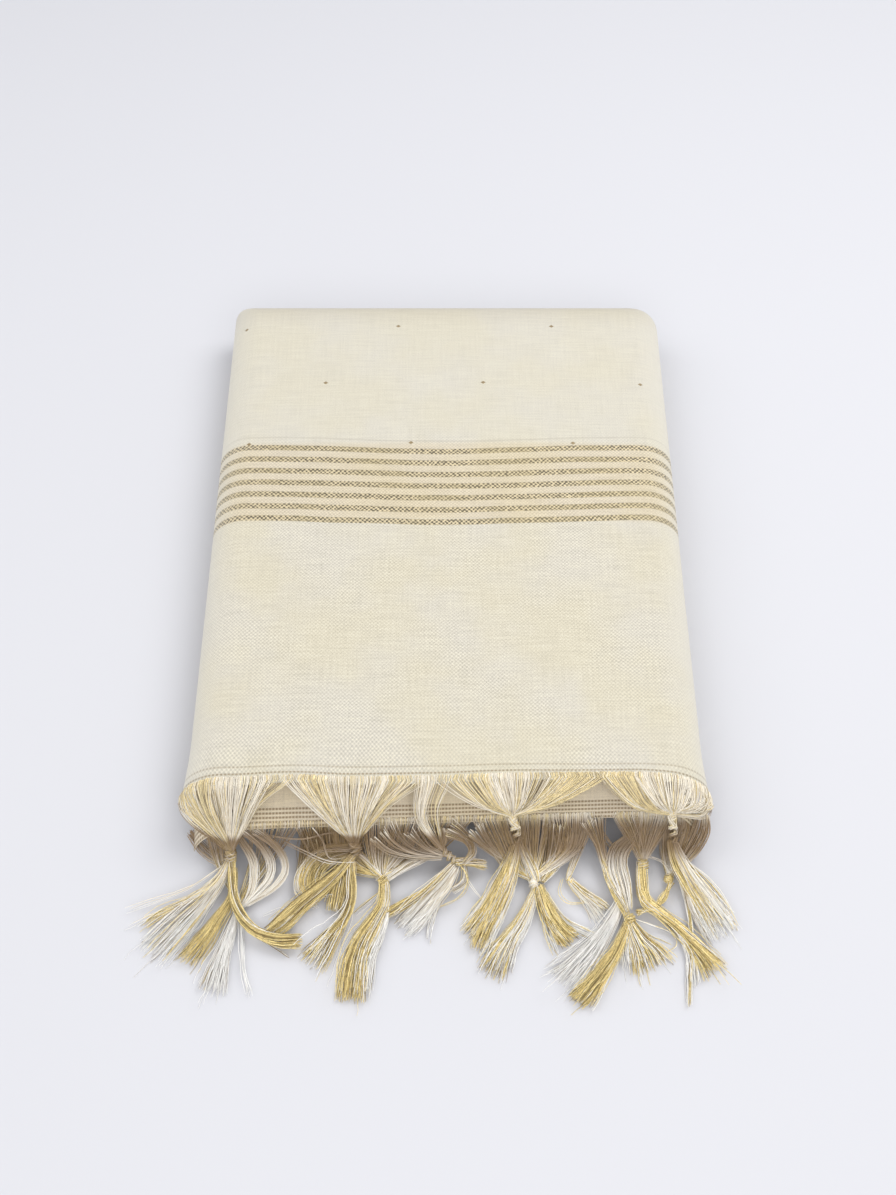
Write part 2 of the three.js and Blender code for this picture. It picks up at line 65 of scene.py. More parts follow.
# The stack, in millimetres. Its sizes come from the frame.
FIRST_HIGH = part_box("first_end")[1] / MM
SIDE_FOLD_INSET = 1.0
HALF_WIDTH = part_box("folded_layers")[1].x / MM + SIDE_FOLD_INSET
STACK_WIDTH = 2 * HALF_WIDTH
STACK_HEIGHT = 37.0
STACK_DEPTH = 300.0
CROWN = 1.5
WALL = 2.4
SEAM_GAP = 0.4

# The first end rolls over both sides and right round the far fold.
SIDE_ROLL = STACK_HEIGHT / 2
FAR_ROLL = 13.0
SIDE_TURN = math.radians(103)
FAR_TURN = math.radians(164)
ROLL_LEVEL = STACK_HEIGHT - SIDE_ROLL
FLAT_HALF_WIDTH = HALF_WIDTH - SIDE_ROLL
FLAT_FAR = FIRST_HIGH.y - FAR_ROLL
FIRST_HEM = FIRST_HIGH.y - STACK_DEPTH
LEFT_CORNER_POWER = 9.0
RIGHT_CORNER_POWER = 2.6

# How thin the cloth is at its hems, as a share, and how far in it takes to grow to full.
HEM_THINNING = 0.3
HEM_TAPER = 9.0

# The second end slopes down from under the first to its own hem.
SecondPlace = namedtuple("SecondPlace", "y z")
SECOND_START = SecondPlace(-137.5, 33.2)
SECOND_HEM_LEFT = SecondPlace(-168.6, 16.5)
SECOND_HEM_RIGHT = SecondPlace(-160.2, 16.5)
SECOND_LENGTH = math.hypot(SECOND_START.y - SECOND_HEM_LEFT.y, SECOND_START.z - SECOND_HEM_LEFT.z)
SECOND_FLAT_HALF_WIDTH = 99.0
SECOND_ROLL = 16.0
SECOND_TURN = math.radians(75)
SECOND_BULGE = 1.0
SECOND_END_REACH_LEFT = 6.0
SECOND_END_REACH_RIGHT = 11.0
SECOND_END_POWER = 10

# How far the first hem stands above its line, and in front of it, across the stack.
HEM_PLACES = (-118, -96, -69, -42, -10, 33, 86, 118)
HEM_LIFTS = (-1, 0, 2, -1, 0.5, 1.5, 1.8, -1.5)
HEM_REACHES = (3, 3.6, 3.4, 3.2, 3.4, 2, 1.6, 2)
HEM_DROOP = 2.5
HEM_BEND = 26.0
# Towards its ends the first hem comes forward, and flares.
HEM_END_REACH_LEFT = 2.0
HEM_END_REACH_RIGHT = 2.5
HEM_END_POWER = 8
HEM_FLARE = 3.0

# A soft crease: where its middle is, which way it runs, how long and wide it is, and how deep.
# A crease with a depth below 0 is a ridge.
Crease = namedtuple("Crease", "x y angle long wide deep")
TOP_CREASES = (
    Crease(-60, 60, 0, 70, 16, 0.5),
    Crease(40, -40, 0, 90, 14, 0.6),
    Crease(-15, -95, 0, 60, 12, 0.5),
    Crease(75, 95, 0, 50, 14, 0.5),
    Crease(-70, -30, 62, 42, 9, 0.3),
    Crease(-42, -70, 78, 52, 8, -0.32),
    Crease(8, -52, 84, 46, 9, 0.3),
    Crease(52, -84, 81, 60, 8, -0.34),
    Crease(84, -58, 66, 40, 10, 0.3),
    Crease(-88, 98, 12, 38, 9, 0.36),
    Crease(-30, 108, -6, 44, 8, -0.3),
    Crease(30, 74, 9, 46, 9, 0.32),
    Crease(62, 30, -14, 34, 8, -0.26),
    Crease(-95, -98, 74, 30, 8, 0.34),
    Crease(28, -118, 14, 34, 8, 0.36),
    Crease(98, -112, 80, 26, 8, -0.34),
    Crease(-2, 20, 4, 80, 11, 0.28),
)
SECOND_CREASES = (
    Crease(-70, -152, 24, 16, 6, 0.8),
    Crease(-34, -150, -18, 14, 5, -0.6),
    Crease(2, -152, 30, 15, 6, 0.7),
    Crease(48, -149, -24, 15, 6, 0.7),
    Crease(80, -151, 15, 12, 5, -0.6),
)

# The hidden layers, from the lowest up: half widths, the order in which one strip runs through
# them, and where its turns reach. The first name in a turn is the edge that it lies at.
LAYER_PITCH = (STACK_HEIGHT - WALL - SEAM_GAP) / 7
LAYER_THICKNESS = LAYER_PITCH - 0.35
LAYER_HALF_WIDTHS = (117.2, 116.3, 117.0, 115.2, 114.6, 112.3, 107.4)
STRIP_ORDER = (0, 3, 4, 5, 2, 1, 6)
Turn = namedtuple("Turn", "tip reach")
STRIP_TURNS = (
    Turn(-143.8, 7.2),
    Turn(134.2, 2.8),
    Turn(-134.6, 3.2),
    Turn(139.0, 6.0),
    Turn(-138.6, 2.8),
    Turn(143.9, 9.0),
)
STRIP_START = 137.8
STRIP_END = -131.0
LAYER_CORNERS = {"near_low": 8.0, "near_high": 16.0, "far_low": 18.0, "far_high": 13.0}
NEAR_TIP = 146.0
FAR_TIP = 146.3

# How finely the sheets and the strip are stepped, in millimetres, and in steps for the short ones.
FIRST_STEP = 1.9
SECOND_STEP = 1.2
SECOND_ROWS = 28
STRIP_STEP = 9.0
STRIP_TURN_STEPS = 12
# A crease bends to one side by this share of its length.
CREASE_BEND = 0.08
CREASE_BEND_TURN = 2.2
# The corners of the lowest layers and of those above are rounded differently, near and far.
NEAR_LOW_BELOW = 3.5
FAR_LOW_BELOW = 2.5
# How far a strip's edge draws in between its two plies, as a share of a ply, and at its faces.
PLY_ROUNDING = 1.5
EDGE_INSET = 3.0

# Where the woven lines lie, from the first hem inwards.
STRIPES_FROM_HEM = 144.9
STRIPE_BOW = 3.7

# Fringe. A fan of threads runs from the hem to the knot's top, between two places along the hem, by
# way of a point. A bundle runs along a line of stations. Gold is the share of threads that are zari,
# ragged how unevenly they end, and turns how far they are twisted. Knots are in millimetres. Fans and
# bundles are written as the camera sees them and turned into millimetres by seen_fan and seen_bundle: a
# fan starts and stops at pixels across the frame, and a spot or a station is pixels across and down,
# a height in millimetres and, for a station, the bundle's width in pixels.
Spot = namedtuple("Spot", "across down height")
Station = namedtuple("Station", "across down height width")
Fan = namedtuple("Fan", "start stop by gold threads")
Bundle = namedtuple("Bundle", "what gold threads ragged turns line")
Tassel = namedtuple("Tassel", "name hem top foot girth turns gold fans bundles")

TASSELS = (
    Tassel(
        "first_1", "first", (-97, -175.5, 11), (-97, -178, 7), 2.9, 3, 0.8,
        fans=(
            Fan(178, 213, (204, 815, 24), 0.85, 84),
            Fan(207, 226, (222, 816, 24), 0.4, 36),
            Fan(214, 270, (236, 816, 24), 0.12, 130),
            Fan(262, 292, (250, 808, 26), 0.7, 16),
            Fan(180, 188, (191, 818, 20), 0.6, 18),
        ),
        bundles=(
            Bundle("white and green brush", 0.15, 120, 0.16, 0, (
                (229, 860, 7, 4), (222, 876, 6, 9), (205, 897, 4, 18), (180, 922, 3, 30), (146, 957, 2, 36),
            )),
            Bundle("its upper edge", 0.75, 20, 0.2, 0, (
                (228, 862, 7.5, 2), (215, 884, 6, 3), (195, 897, 4.6, 5), (165, 911, 3.2, 8),
                (138, 930, 2, 8),
            )),
            Bundle("gold brush", 0.92, 120, 0.12, 0, (
                (233, 868, 7, 4), (231, 895, 6, 5), (216, 920, 4.5, 10), (200, 942, 3, 15),
                (184, 963, 2.2, 22),
            )),
            Bundle("gold cord", 0.93, 160, 0.05, 0.4, (
                (232, 858, 7.5, 6), (232, 880, 8, 7), (235, 903, 7.5, 8), (247, 924, 6.5, 9),
                (265, 936, 5.5, 10), (283, 941, 5, 13), (302, 941, 4.5, 14),
            )),
            Bundle("loose at the corner", 0.3, 26, 0.05, 0, (
                (193, 820, 14, 4), (205, 833, 10, 8), (221, 842, 10, 6), (230, 850, 9, 3),
            )),
            Bundle("loose under the corner", 0.2, 22, 0.05, 0, (
                (190, 832, 9, 6), (203, 849, 6, 10), (217, 859, 5, 8), (228, 857, 7, 2),
            )),
            Bundle("hairs", 0.3, 5, 0.3, 0, (
                (228, 862, 6.5, 1), (190, 889, 4, 3), (150, 905, 2.4, 6), (115, 917, 1.2, 6),
            )),
            Bundle("hairs", 0.3, 5, 0.3, 0, (
                (226, 868, 6, 1), (190, 898, 3.6, 3), (150, 918, 2, 6), (118, 933, 1.2, 4),
            )),
            Bundle("hair below the cord", 0.6, 3, 0.1, 0, (
                (262, 940, 3, 1), (276, 949, 2, 1), (291, 958, 1, 1),
            )),
        ),
    ),
    Tassel(
        "first_2", "first", (-41, -172, 12), (-40, -175, 7.5), 3.1, 3, 0.5,
        fans=(
            Fan(284, 300, (320, 812, 27), 0.05, 14),
            Fan(300, 327, (330, 812, 27), 0.85, 60),
            Fan(320, 386, (352, 815, 26), 0.2, 150),
            Fan(378, 408, (374, 812, 26), 0.65, 44),
            Fan(400, 424, (385, 806, 28), 0.4, 12),
        ),
        bundles=(
            Bundle("gold band to the left", 0.92, 150, 0.1, 0, (
                (352, 856, 8, 6), (340, 871, 8, 9), (322, 887, 7, 13), (300, 905, 5.5, 15),
                (283, 922, 4, 16), (268, 934, 3, 12),
            )),
            Bundle("brush", 0.5, 110, 0.16, 0, (
                (352, 862, 7, 5), (351, 885, 6.5, 6), (350, 902, 6, 6), (343, 920, 5, 9),
                (328, 940, 3.5, 18), (309, 968, 2, 32),
            )),
            Bundle("gold in the brush", 0.95, 56, 0.14, 0, (
                (350, 864, 7.5, 4), (353, 890, 7.5, 5), (349, 910, 6.5, 6), (340, 924, 5.4, 8),
                (325, 940, 4, 12),
            )),
            Bundle("band to the next knot", 0.25, 50, 0.03, 0.3, (
                (360, 853, 8, 6), (371, 866, 7, 6), (382, 878, 5.5, 4),
            )),
            Bundle("behind the bands", 0.8, 70, 0.1, 0, (
                (344, 868, 6, 8), (338, 893, 4, 16), (334, 912, 3, 15),
            )),
            Bundle("gold curl", 0.85, 60, 0.08, 0, (
                (350, 846, 9.5, 5), (328, 848, 9, 9), (310, 860, 7, 10), (301, 878, 5, 8),
                (304, 894, 3.5, 6), (317, 905, 3, 4),
            )),
            Bundle("white curl", 0.2, 10, 0.08, 0, (
                (350, 850, 10, 3), (318, 851, 9, 4), (301, 867, 7, 4), (296, 886, 5, 4), (305, 899, 3.5, 3),
                (319, 908, 3, 2),
            )),
            Bundle("inside the curl", 0.85, 60, 0.1, 0, (
                (350, 852, 7, 7), (325, 862, 6, 16), (313, 880, 4, 17), (317, 898, 3, 9),
            )),
            Bundle("strand across", 0.05, 3, 0.02, 0, (
                (284, 840, 12, 1), (308, 852, 11.5, 1), (330, 861, 10.5, 1), (354, 862, 9, 1),
            )),
            Bundle("strand across", 0.1, 3, 0.02, 0, (
                (312, 826, 18, 1), (322, 840, 14, 1), (330, 858, 9, 1), (352, 856, 8, 1),
            )),
            Bundle("hair", 0.4, 2, 0.1, 0, ((335, 893, 5, 1), (292, 903, 3, 1), (259, 917, 1.2, 1))),
        ),
    ),
    Tassel(
        "first_3", "first", (-1, -175, 10), (4, -179, 7.5), 2.1, 3, 0.3,
        fans=(
            Fan(415, 436, (421, 818, 22), 0.1, 36),
            Fan(440, 452, (436, 812, 26), 0.5, 6),
        ),
        bundles=(
            Bundle("short gold end", 0.75, 46, 0.04, 0.2, (
                (456, 862, 8.5, 6), (470, 862, 7.5, 9), (487, 866, 6, 9),
            )),
            Bundle("white arcs", 0.03, 40, 0.03, 0, (
                (386, 829, 16.4, 36), (396, 843, 12, 26), (415, 853, 9.8, 12), (442, 857, 9.5, 4),
            )),
            Bundle("white arcs above", 0.03, 26, 0.03, 0, (
                (414, 829, 16.4, 24), (421, 840, 13, 14), (430, 849, 11, 7), (443, 855, 10.5, 3),
            )),
            Bundle("arcs at the right", 0.3, 36, 0.03, 0, (
                (450, 828, 16.4, 20), (465, 838, 13.5, 10), (472, 852, 10.5, 7), (462, 864, 8.5, 3),
            )),
            Bundle("arcs to the right", 0.25, 40, 0.05, 0, (
                (476, 828, 16.4, 26), (487, 843, 11, 12), (500, 856, 8, 7), (512, 862, 7, 3),
            )),
            Bundle("gold band", 0.93, 66, 0.05, 0.2, (
                (452, 864, 7.5, 4), (438, 879, 7, 6), (422, 893, 6, 7), (405, 904, 4.8, 9),
                (386, 914, 3.8, 9),
            )),
            Bundle("white brush", 0.04, 110, 0.18, 0, (
                (456, 868, 7, 7), (444, 884, 6, 14), (430, 900, 4.5, 19), (416, 916, 3, 22),
                (401, 931, 2.2, 22),
            )),
            Bundle("white strand", 0, 10, 0.1, 0, (
                (452, 874, 6, 2), (439, 903, 3.6, 3), (431, 925, 2.4, 4), (429, 946, 1.5, 4),
            )),
            Bundle("white end", 0.1, 18, 0.1, 0, ((464, 864, 7, 4), (464, 882, 5, 7), (450, 892, 4, 7))),
            Bundle("ring", 0.8, 3, 0.02, 0, (
                (458, 862, 9.5, 1), (467, 873, 8.5, 1), (468, 886, 7, 1), (458, 899, 5, 1),
                (440, 907, 3, 1),
            )),
            Bundle("hair", 0.4, 2, 0.1, 0, ((466, 876, 6, 1), (477, 892, 4, 1), (490, 905, 2, 1))),
        ),
    ),
    Tassel(
        "first_4", "first", (30, -164.5, 23), (33, -171, 12), 2.4, 4, 0.45,
        fans=(
            Fan(438, 460, (478, 804, 29), 0.6, 10),
            Fan(455, 492, (493, 806, 29), 0.8, 50),
            Fan(486, 530, (512, 803, 30), 0.15, 110),
            Fan(526, 560, (528, 804, 29), 0.5, 44),
            Fan(556, 606, (546, 803, 29), 0.92, 110),
        ),
        bundles=(
            Bundle("brush", 0.55, 150, 0.14, 0, (
                (517, 840, 11, 6), (512, 860, 9.5, 12), (502, 884, 7, 18), (488, 911, 4.5, 22),
                (470, 938, 2.4, 26),
            )),
            Bundle("gold in the brush", 0.9, 76, 0.12, 0, (
                (515, 844, 10, 5), (506, 878, 7.5, 9), (494, 908, 5.2, 12), (481, 938, 3.4, 14),
                (476, 950, 2.6, 12),
            )),
            Bundle("white in the brush", 0.02, 50, 0.14, 0, (
                (519, 846, 8.5, 4), (514, 880, 6, 6), (505, 906, 4, 8), (493, 932, 2.8, 8),
                (482, 958, 2, 10),
            )),
            Bundle("band to the next knot", 0.5, 70, 0.02, 0, (
                (520, 840, 11.5, 6), (527, 857, 9.5, 9), (534, 872, 7, 9), (537, 882, 5.6, 5),
            )),
        ),
    ),
    Tassel(
        "first_5", "first", (101.5, -163.5, 23), (103, -171, 12), 2.3, 4, 0.5,
        fans=(
            Fan(602, 642, (644, 806, 28), 0.9, 96),
            Fan(636, 692, (669, 804, 30), 0.2, 136),
            Fan(686, 706, (694, 806, 26), 0.25, 50),
            Fan(700, 712, (706, 806, 22), 0.4, 34),
            Fan(704, 713, (702, 814, 20), 0.55, 26),
        ),
        bundles=(
            Bundle("white brush", 0.08, 130, 0.2, 0, (
                (672, 840, 11.5, 6), (681, 862, 9.5, 10), (696, 887, 6, 16), (713, 912, 3.6, 24),
                (729, 937, 2.2, 32),
            )),
            Bundle("gold in the brush", 0.85, 64, 0.14, 0, (
                (669, 840, 12, 4), (674, 863, 10, 6), (687, 886, 7, 8), (702, 908, 4.4, 10),
                (713, 927, 2.8, 10),
            )),
            Bundle("white inside", 0.02, 54, 0.16, 0, (
                (674, 850, 8, 4), (688, 892, 5.5, 7), (698, 915, 3.4, 11), (713, 942, 2, 13),
            )),
            Bundle("long white end", 0.25, 26, 0.06, 0, (
                (676, 862, 7, 3), (688, 905, 3.4, 3), (691, 940, 2, 4), (690, 975, 1.7, 4),
                (690, 1007, 1.5, 4),
            )),
            Bundle("hairs", 0.4, 9, 0.2, 0, (
                (680, 858, 9, 2), (706, 880, 5.6, 5), (724, 905, 3, 8), (738, 934, 1.6, 8),
            )),
        ),
    ),
    Tassel(
        "second_1", "second", (-92, -198, 2.9), (-93, -202, 2.7), 1.4, 2, 0.1,
        fans=(
            Fan(208, 236, (224, 864, 5), 0.35, 60),
            Fan(250, 300, (262, 862, 5), 0.75, 30),
        ),
        bundles=(
            Bundle("inner arc", 0.03, 32, 0, 0, (
                (234, 830, 16, 8), (243, 843, 12, 6), (254, 862, 8, 8), (254, 885, 5.4, 7),
                (246, 902, 3.8, 4), (238, 909, 3, 2),
            )),
            Bundle("middle arc", 0.03, 28, 0, 0, (
                (245, 830, 16, 8), (262, 845, 11.5, 6), (271, 862, 8.4, 7), (270, 878, 5.8, 7),
                (258, 893, 4.3, 5), (242, 907, 3.2, 2),
            )),
            Bundle("outer arc", 0.03, 22, 0, 0, (
                (256, 830, 16, 9), (275, 845, 12, 6), (284, 860, 8.8, 6), (284, 875, 6.2, 6),
                (271, 889, 4.5, 5), (247, 905, 3.2, 2),
            )),
            Bundle("white brush", 0.02, 130, 0.1, 0, (
                (238, 907, 2.9, 4), (232, 928, 2.7, 9), (222, 956, 2.3, 16), (211, 994, 1.9, 30),
            )),
            Bundle("thin white end", 0, 11, 0.06, 0, (
                (240, 912, 2.8, 2), (241, 940, 2.4, 3), (244, 970, 2, 4), (250, 999, 1.5, 5),
            )),
            Bundle("strand across", 0, 3, 0, 0, (
                (243, 838, 14, 1), (268, 837, 14, 1), (300, 840, 14, 1), (325, 834, 14.5, 1),
                (352, 831, 15, 1),
            )),
        ),
    ),
    Tassel(
        "second_2", "second", (-29, -185.5, 5), (-27, -188.5, 4), 2.6, 3, 0.7,
        fans=(
            Fan(296, 336, (330, 862, 4), 0.85, 40),
            Fan(332, 368, (352, 858, 5.5), 0.8, 90),
            Fan(362, 398, (378, 856, 9), 0.55, 84),
            Fan(394, 428, (400, 852, 9), 0.25, 50),
            Fan(424, 470, (425, 852, 7), 0.6, 60),
        ),
        bundles=(
            Bundle("band from the right", 0.2, 54, 0, 0.3, (
                (446, 829, 16, 7), (441, 846, 11, 7), (425, 857, 8, 9), (405, 867, 6.5, 7),
                (388, 879, 5.4, 4),
            )),
            Bundle("hanging behind", 0.85, 110, 0.25, 0, (
                (316, 828, 14, 30), (318, 838, 9, 32), (314, 856, 4.6, 30), (311, 872, 3.4, 26),
                (305, 890, 2.4, 18),
            )),
            Bundle("gold brush", 0.85, 180, 0.12, 0, (
                (384, 884, 4.4, 7), (384, 904, 4, 9), (374, 922, 3.4, 14), (361, 944, 2.8, 19),
                (354, 968, 2.4, 23), (350, 1003, 1.9, 28),
            )),
            Bundle("its white edge", 0.03, 76, 0.12, 0, (
                (386, 886, 3.8, 4), (386, 914, 3.2, 6), (377, 938, 2.6, 10), (368, 962, 2.1, 13),
                (363, 998, 1.7, 13),
            )),
            Bundle("hairs", 0.4, 5, 0.2, 0, ((382, 890, 3.6, 1), (366, 904, 2.4, 3), (351, 915, 1.4, 3))),
        ),
    ),
    Tassel(
        "second_3", "second", (39, -187, 5), (40, -190, 4), 2.3, 3, 0.3,
        fans=(
            Fan(474, 524, (515, 864, 6.4), 0.55, 110),
            Fan(518, 552, (533, 858, 9), 0.5, 84),
            Fan(548, 594, (567, 850, 9.4), 0.12, 130),
        ),
        bundles=(
            Bundle("in the middle", 0.6, 70, 0, 0, (
                (556, 826, 15.4, 30), (554, 846, 9, 26), (549, 866, 5.6, 17), (541, 881, 5, 6),
            )),
            Bundle("brush", 0.65, 116, 0.15, 0, (
                (535, 890, 4, 4), (524, 914, 3.6, 8), (512, 934, 3, 12), (499, 956, 2.4, 21),
                (489, 978, 2, 29),
            )),
            Bundle("pale in the brush", 0.05, 54, 0.14, 0, (
                (537, 892, 3.6, 3), (524, 925, 3, 6), (512, 946, 2.3, 11), (503, 973, 1.8, 15),
            )),
            Bundle("gold brush", 0.95, 140, 0.14, 0, (
                (539, 886, 4.4, 6), (545, 905, 4, 11), (556, 925, 3.2, 16), (571, 943, 2.4, 24),
            )),
            Bundle("pale at its edge", 0.1, 22, 0.2, 0, (
                (544, 890, 3.4, 3), (563, 918, 2.6, 6), (583, 932, 2, 10), (598, 937, 1.5, 8),
            )),
            Bundle("loose", 0.1, 11, 0.2, 0, ((540, 895, 3, 3), (548, 930, 2.2, 5), (557, 957, 1.5, 5))),
        ),
    ),
    Tassel(
        "second_4", "second", (55, -185.5, 3.4), (57, -187.5, 3), 1.5, 2, 0.4,
        fans=(
            Fan(580, 596, (577, 852, 8.6), 0.3, 20),
        ),
        bundles=(
            Bundle("brush", 0.15, 56, 0.12, 0, (
                (569, 880, 3, 4), (582, 893, 2.7, 7), (594, 903, 2.3, 11), (605, 912, 2, 13),
            )),
            Bundle("gold in the brush", 0.9, 20, 0.1, 0, (
                (570, 880, 3.2, 2), (591, 895, 2.8, 4), (608, 908, 2.4, 6),
            )),
            Bundle("loose", 0, 22, 0.2, 0, ((574, 884, 2.4, 4), (591, 907, 2, 9), (603, 926, 1.5, 14))),
            Bundle("ring", 0.4, 2, 0.02, 0, (
                (562, 880, 3, 1), (559, 893, 2.5, 1), (568, 903, 2, 1), (586, 903, 2, 1),
            )),
        ),
    ),
    Tassel(
        "second_5", "second", (81, -204, 4), (82, -207, 3.6), 2.8, 3, 0.85,
        fans=(),
        bundles=(
            Bundle("from the hem", 0.2, 90, 0, 0, (
                (593, 820, 16.2, 26), (599, 842, 10.5, 11), (604, 862, 7.4, 7), (612, 880, 6, 8),
                (621, 898, 5.2, 7), (627, 914, 4.6, 5),
            )),
            Bundle("gold on it", 0.92, 46, 0, 0.3, (
                (600, 852, 8.4, 3), (610, 882, 6.4, 5), (619, 900, 5.6, 7), (627, 915, 4.8, 5),
            )),
            Bundle("broad white band", 0.02, 136, 0, 0, (
                (640, 818, 15.6, 10), (632, 836, 12, 12), (619, 851, 9.5, 19), (617, 868, 7.5, 21),
                (622, 887, 6, 18), (628, 909, 4.8, 8),
            )),
            Bundle("across the gap", 0.2, 10, 0, 0, (
                (597, 824, 13, 3), (612, 846, 8, 4), (628, 857, 6.5, 4),
            )),
            Bundle("white brush", 0.02, 130, 0.16, 0, (
                (622, 898, 4.2, 6), (611, 922, 3.2, 12), (597, 945, 2.5, 19), (578, 968, 2, 30),
                (562, 987, 1.7, 36),
            )),
            Bundle("loose at the left", 0, 14, 0.2, 0, (
                (604, 928, 2.8, 4), (566, 961, 1.7, 9), (541, 974, 1.3, 8),
            )),
            Bundle("gold brush", 0.94, 150, 0.08, 0, (
                (628, 922, 4, 6), (617, 950, 3.4, 10), (602, 972, 2.8, 15), (588, 990, 2.3, 18),
                (576, 1003, 2, 21),
            )),
            Bundle("spray to the right", 0.6, 110, 0.2, 0, (
                (630, 922, 4, 8), (640, 942, 3.2, 20), (648, 955, 2.4, 34), (654, 969, 1.8, 46),
            )),
            Bundle("white under the spray", 0.02, 44, 0.18, 0, (
                (628, 924, 3.2, 6), (629, 948, 2.6, 14), (635, 967, 1.8, 26),
            )),
            Bundle("thin gold end", 0.6, 12, 0.1, 0, (
                (626, 934, 2.8, 3), (608, 976, 2.2, 4), (596, 1000, 1.8, 5), (590, 1011, 1.6, 5),
            )),
            Bundle("ring", 0.35, 3, 0.02, 0, (
                (634, 918, 4.6, 1), (655, 925, 3.6, 1), (672, 932, 3, 1), (678, 944, 2.4, 1),
                (667, 953, 2, 1),
            )),
        ),
    ),
    Tassel(
        "second_6", "second", (89, -178.5, 7), (89, -181.5, 5.5), 2.8, 3, 0.85,
        fans=(
            Fan(616, 640, (638, 846, 11), 0.5, 60),
            Fan(636, 672, (646, 845, 11), 0.25, 110),
        ),
        bundles=(
            Bundle("gold cord", 0.9, 160, 0.12, 0.3, (
                (642, 866, 6.4, 7), (642, 889, 5.8, 8), (648, 902, 5.2, 8), (664, 916, 4.4, 9),
                (683, 932, 3.6, 11), (700, 950, 3, 17), (717, 974, 2.3, 30),
            )),
            Bundle("white at its edge", 0.03, 30, 0.16, 0, (
                (676, 926, 3.4, 3), (690, 955, 2.2, 7), (694, 987, 1.7, 12),
            )),
        ),
    ),
    Tassel(
        "second_7", "second", (101, -184.5, 3.4), (100, -187, 3), 2.1, 3, 0.9,
        fans=(
            Fan(664, 688, (668, 850, 8), 0.3, 76),
            Fan(684, 700, (682, 850, 8), 0.25, 60),
        ),
        bundles=(
            Bundle("net at the corner", 0.15, 90, 0, 0, (
                (703, 815, 17, 12), (701, 830, 13, 18), (692, 848, 8.4, 16), (678, 868, 5, 6),
            )),
            Bundle("stem", 0.93, 64, 0.02, 1.2, (
                (671, 882, 3.8, 5), (662, 898, 3.8, 6), (652, 908, 4, 6), (637, 913, 4.4, 6),
            )),
            Bundle("link", 0.5, 3, 0, 0, ((650, 857, 8.6, 1), (662, 862, 7, 1), (672, 873, 4.6, 1))),
        ),
    ),
)

THREADS_IN_FAN_GUIDE = 1
THREADS_IN_GUIDE = 3
GOLDEN_ANGLE = math.pi * (3 - math.sqrt(5))
FAN_ROOT = 3.0
# How far a fan's threads lie apart, and wave, from inside the hem to the middle of the knot.
FAN_OPEN = (0.35, 0.5, 0.9, 0.7, 0.5)
FAN_WAVE = (0, 0.5, 1.4, 0.5, 0)
THREAD_LIFT = 0.15
# A knot's turns, as shares of its girth, and the turn that slants across them, sideways and outwards.
KNOT_REACH = 0.62
WOUND_OPEN = 0.34
WOUND_THREADS = 34
STEPS_IN_TURN = 9
SLANT = ((0.9, 0.6), (0.3, 1.0), (-0.5, 0.8), (-1.0, 0.0), (-0.5, -0.8), (0.4, -1.0), (0.9, -0.4))
SLANT_REACH = 1.1
SLANT_OPEN = 0.28
SLANT_THREADS = 20
LOOSE_FROM = 0.055
STRAY_SHARE = 0.10
# How much browner the threads are under the second hem: painted shade where the hem overhangs them.
UNDER_HEM_SHADE_SHARE = 0.86
FLOOR_CLEARANCE = 0.3

# How many threads there are for each one written in the tassels. Strands of a few stay as written.
FULLNESS = 1.12
FEW_THREADS = 12
FEWEST_IN_FAN = 4

# The camera's place in millimetres, how far it looks down, and its frame in pixels.
CAMERA_PLACE = (1.1, -491.9, 661.6)
CAMERA_DOWN = math.radians(55)
FRAME_WIDTH = 896
FRAME_HEIGHT = 1195
FOCAL_IN_PIXELS = 1586
SENSOR_HEIGHT = 24.0

# The pixel across the frame at which the camera sees a hem's middle, and the millimetres that a pixel
# spans there and at the bundles. Places are kept to half a millimetre, and widths to one decimal.
HemView = namedtuple("HemView", "middle span")
HEM_VIEWS = {"first": HemView(445.6, 0.4449), "second": HemView(446.1, 0.4506)}
BUNDLE_SPAN = 0.46
PLACE_STEP = 0.5
WIDTH_DECIMALS = 1

# Where the looks change, in millimetres: the start of each change and where it is full. Those of the
# first end run inwards from its hem or out from its middle, the others along Y or up Z.
Band = namedtuple("Band", "start full")
HEM_LINE_FADE = Band(4.6, 6.2)
STRIPE_GROUND_START = Band(141, 145)
STRIPE_GROUND_END = Band(191, 195)
FIELD_START = Band(176, 188)
FIELD_SHADE_START = Band(182, 200)
SPECKLE_FADE = Band(188, 204)
SIDE_PAINTED_LIGHT_START = Band(100, 126)
STRIPE_FADE = Band(85, 128)
STRIPE_BOW_FADE = Band(0.0, 105)
FAR_SHADE_START = Band(122, 146)
NEAR_FOLD_SHADE_START = Band(-128, -140)
WHITE_ENDS_START = Band(-190, -212)
KNOT_CREAM_START = Band(-183, -173)
UNDER_HEM_INWARD = Band(-185, -173)
UNDER_HEM_LOW = Band(18.5, 15)
FIELD_EDGE_LINE = 197.5

# Colours, in linear light.
OLIVE_ZARI = (0.34, 0.275, 0.13, 1.0)
STRIPE_GROUND_TINT = (1.0, 0.94, 0.85, 1.0)
FIELD_SHADE = (0.60, 0.577, 0.50, 1.0)
FIELD_EDGE_BROWN = (0.32, 0.285, 0.23, 1.0)
# Painted shade along the far fold.
FAR_SHADE = (0.36, 0.315, 0.235, 1.0)
# Painted light on the side rolls of the first end.
SIDE_PAINTED_LIGHT = (0.76, 0.725, 0.62, 1.0)
FIRST_HEM_BROWN = (0.23, 0.165, 0.085, 1.0)
SECOND_HEM_BROWN = (0.21, 0.142, 0.068, 1.0)
DOT_BROWN = (0.255, 0.18, 0.077, 1.0)
# Painted shade on the near folds of the hidden layers.
NEAR_FOLD_PAINTED_SHADE = (0.27, 0.165, 0.075, 1.0)
THREAD_END_WHITE = (1.0, 0.99, 0.955, 1.0)
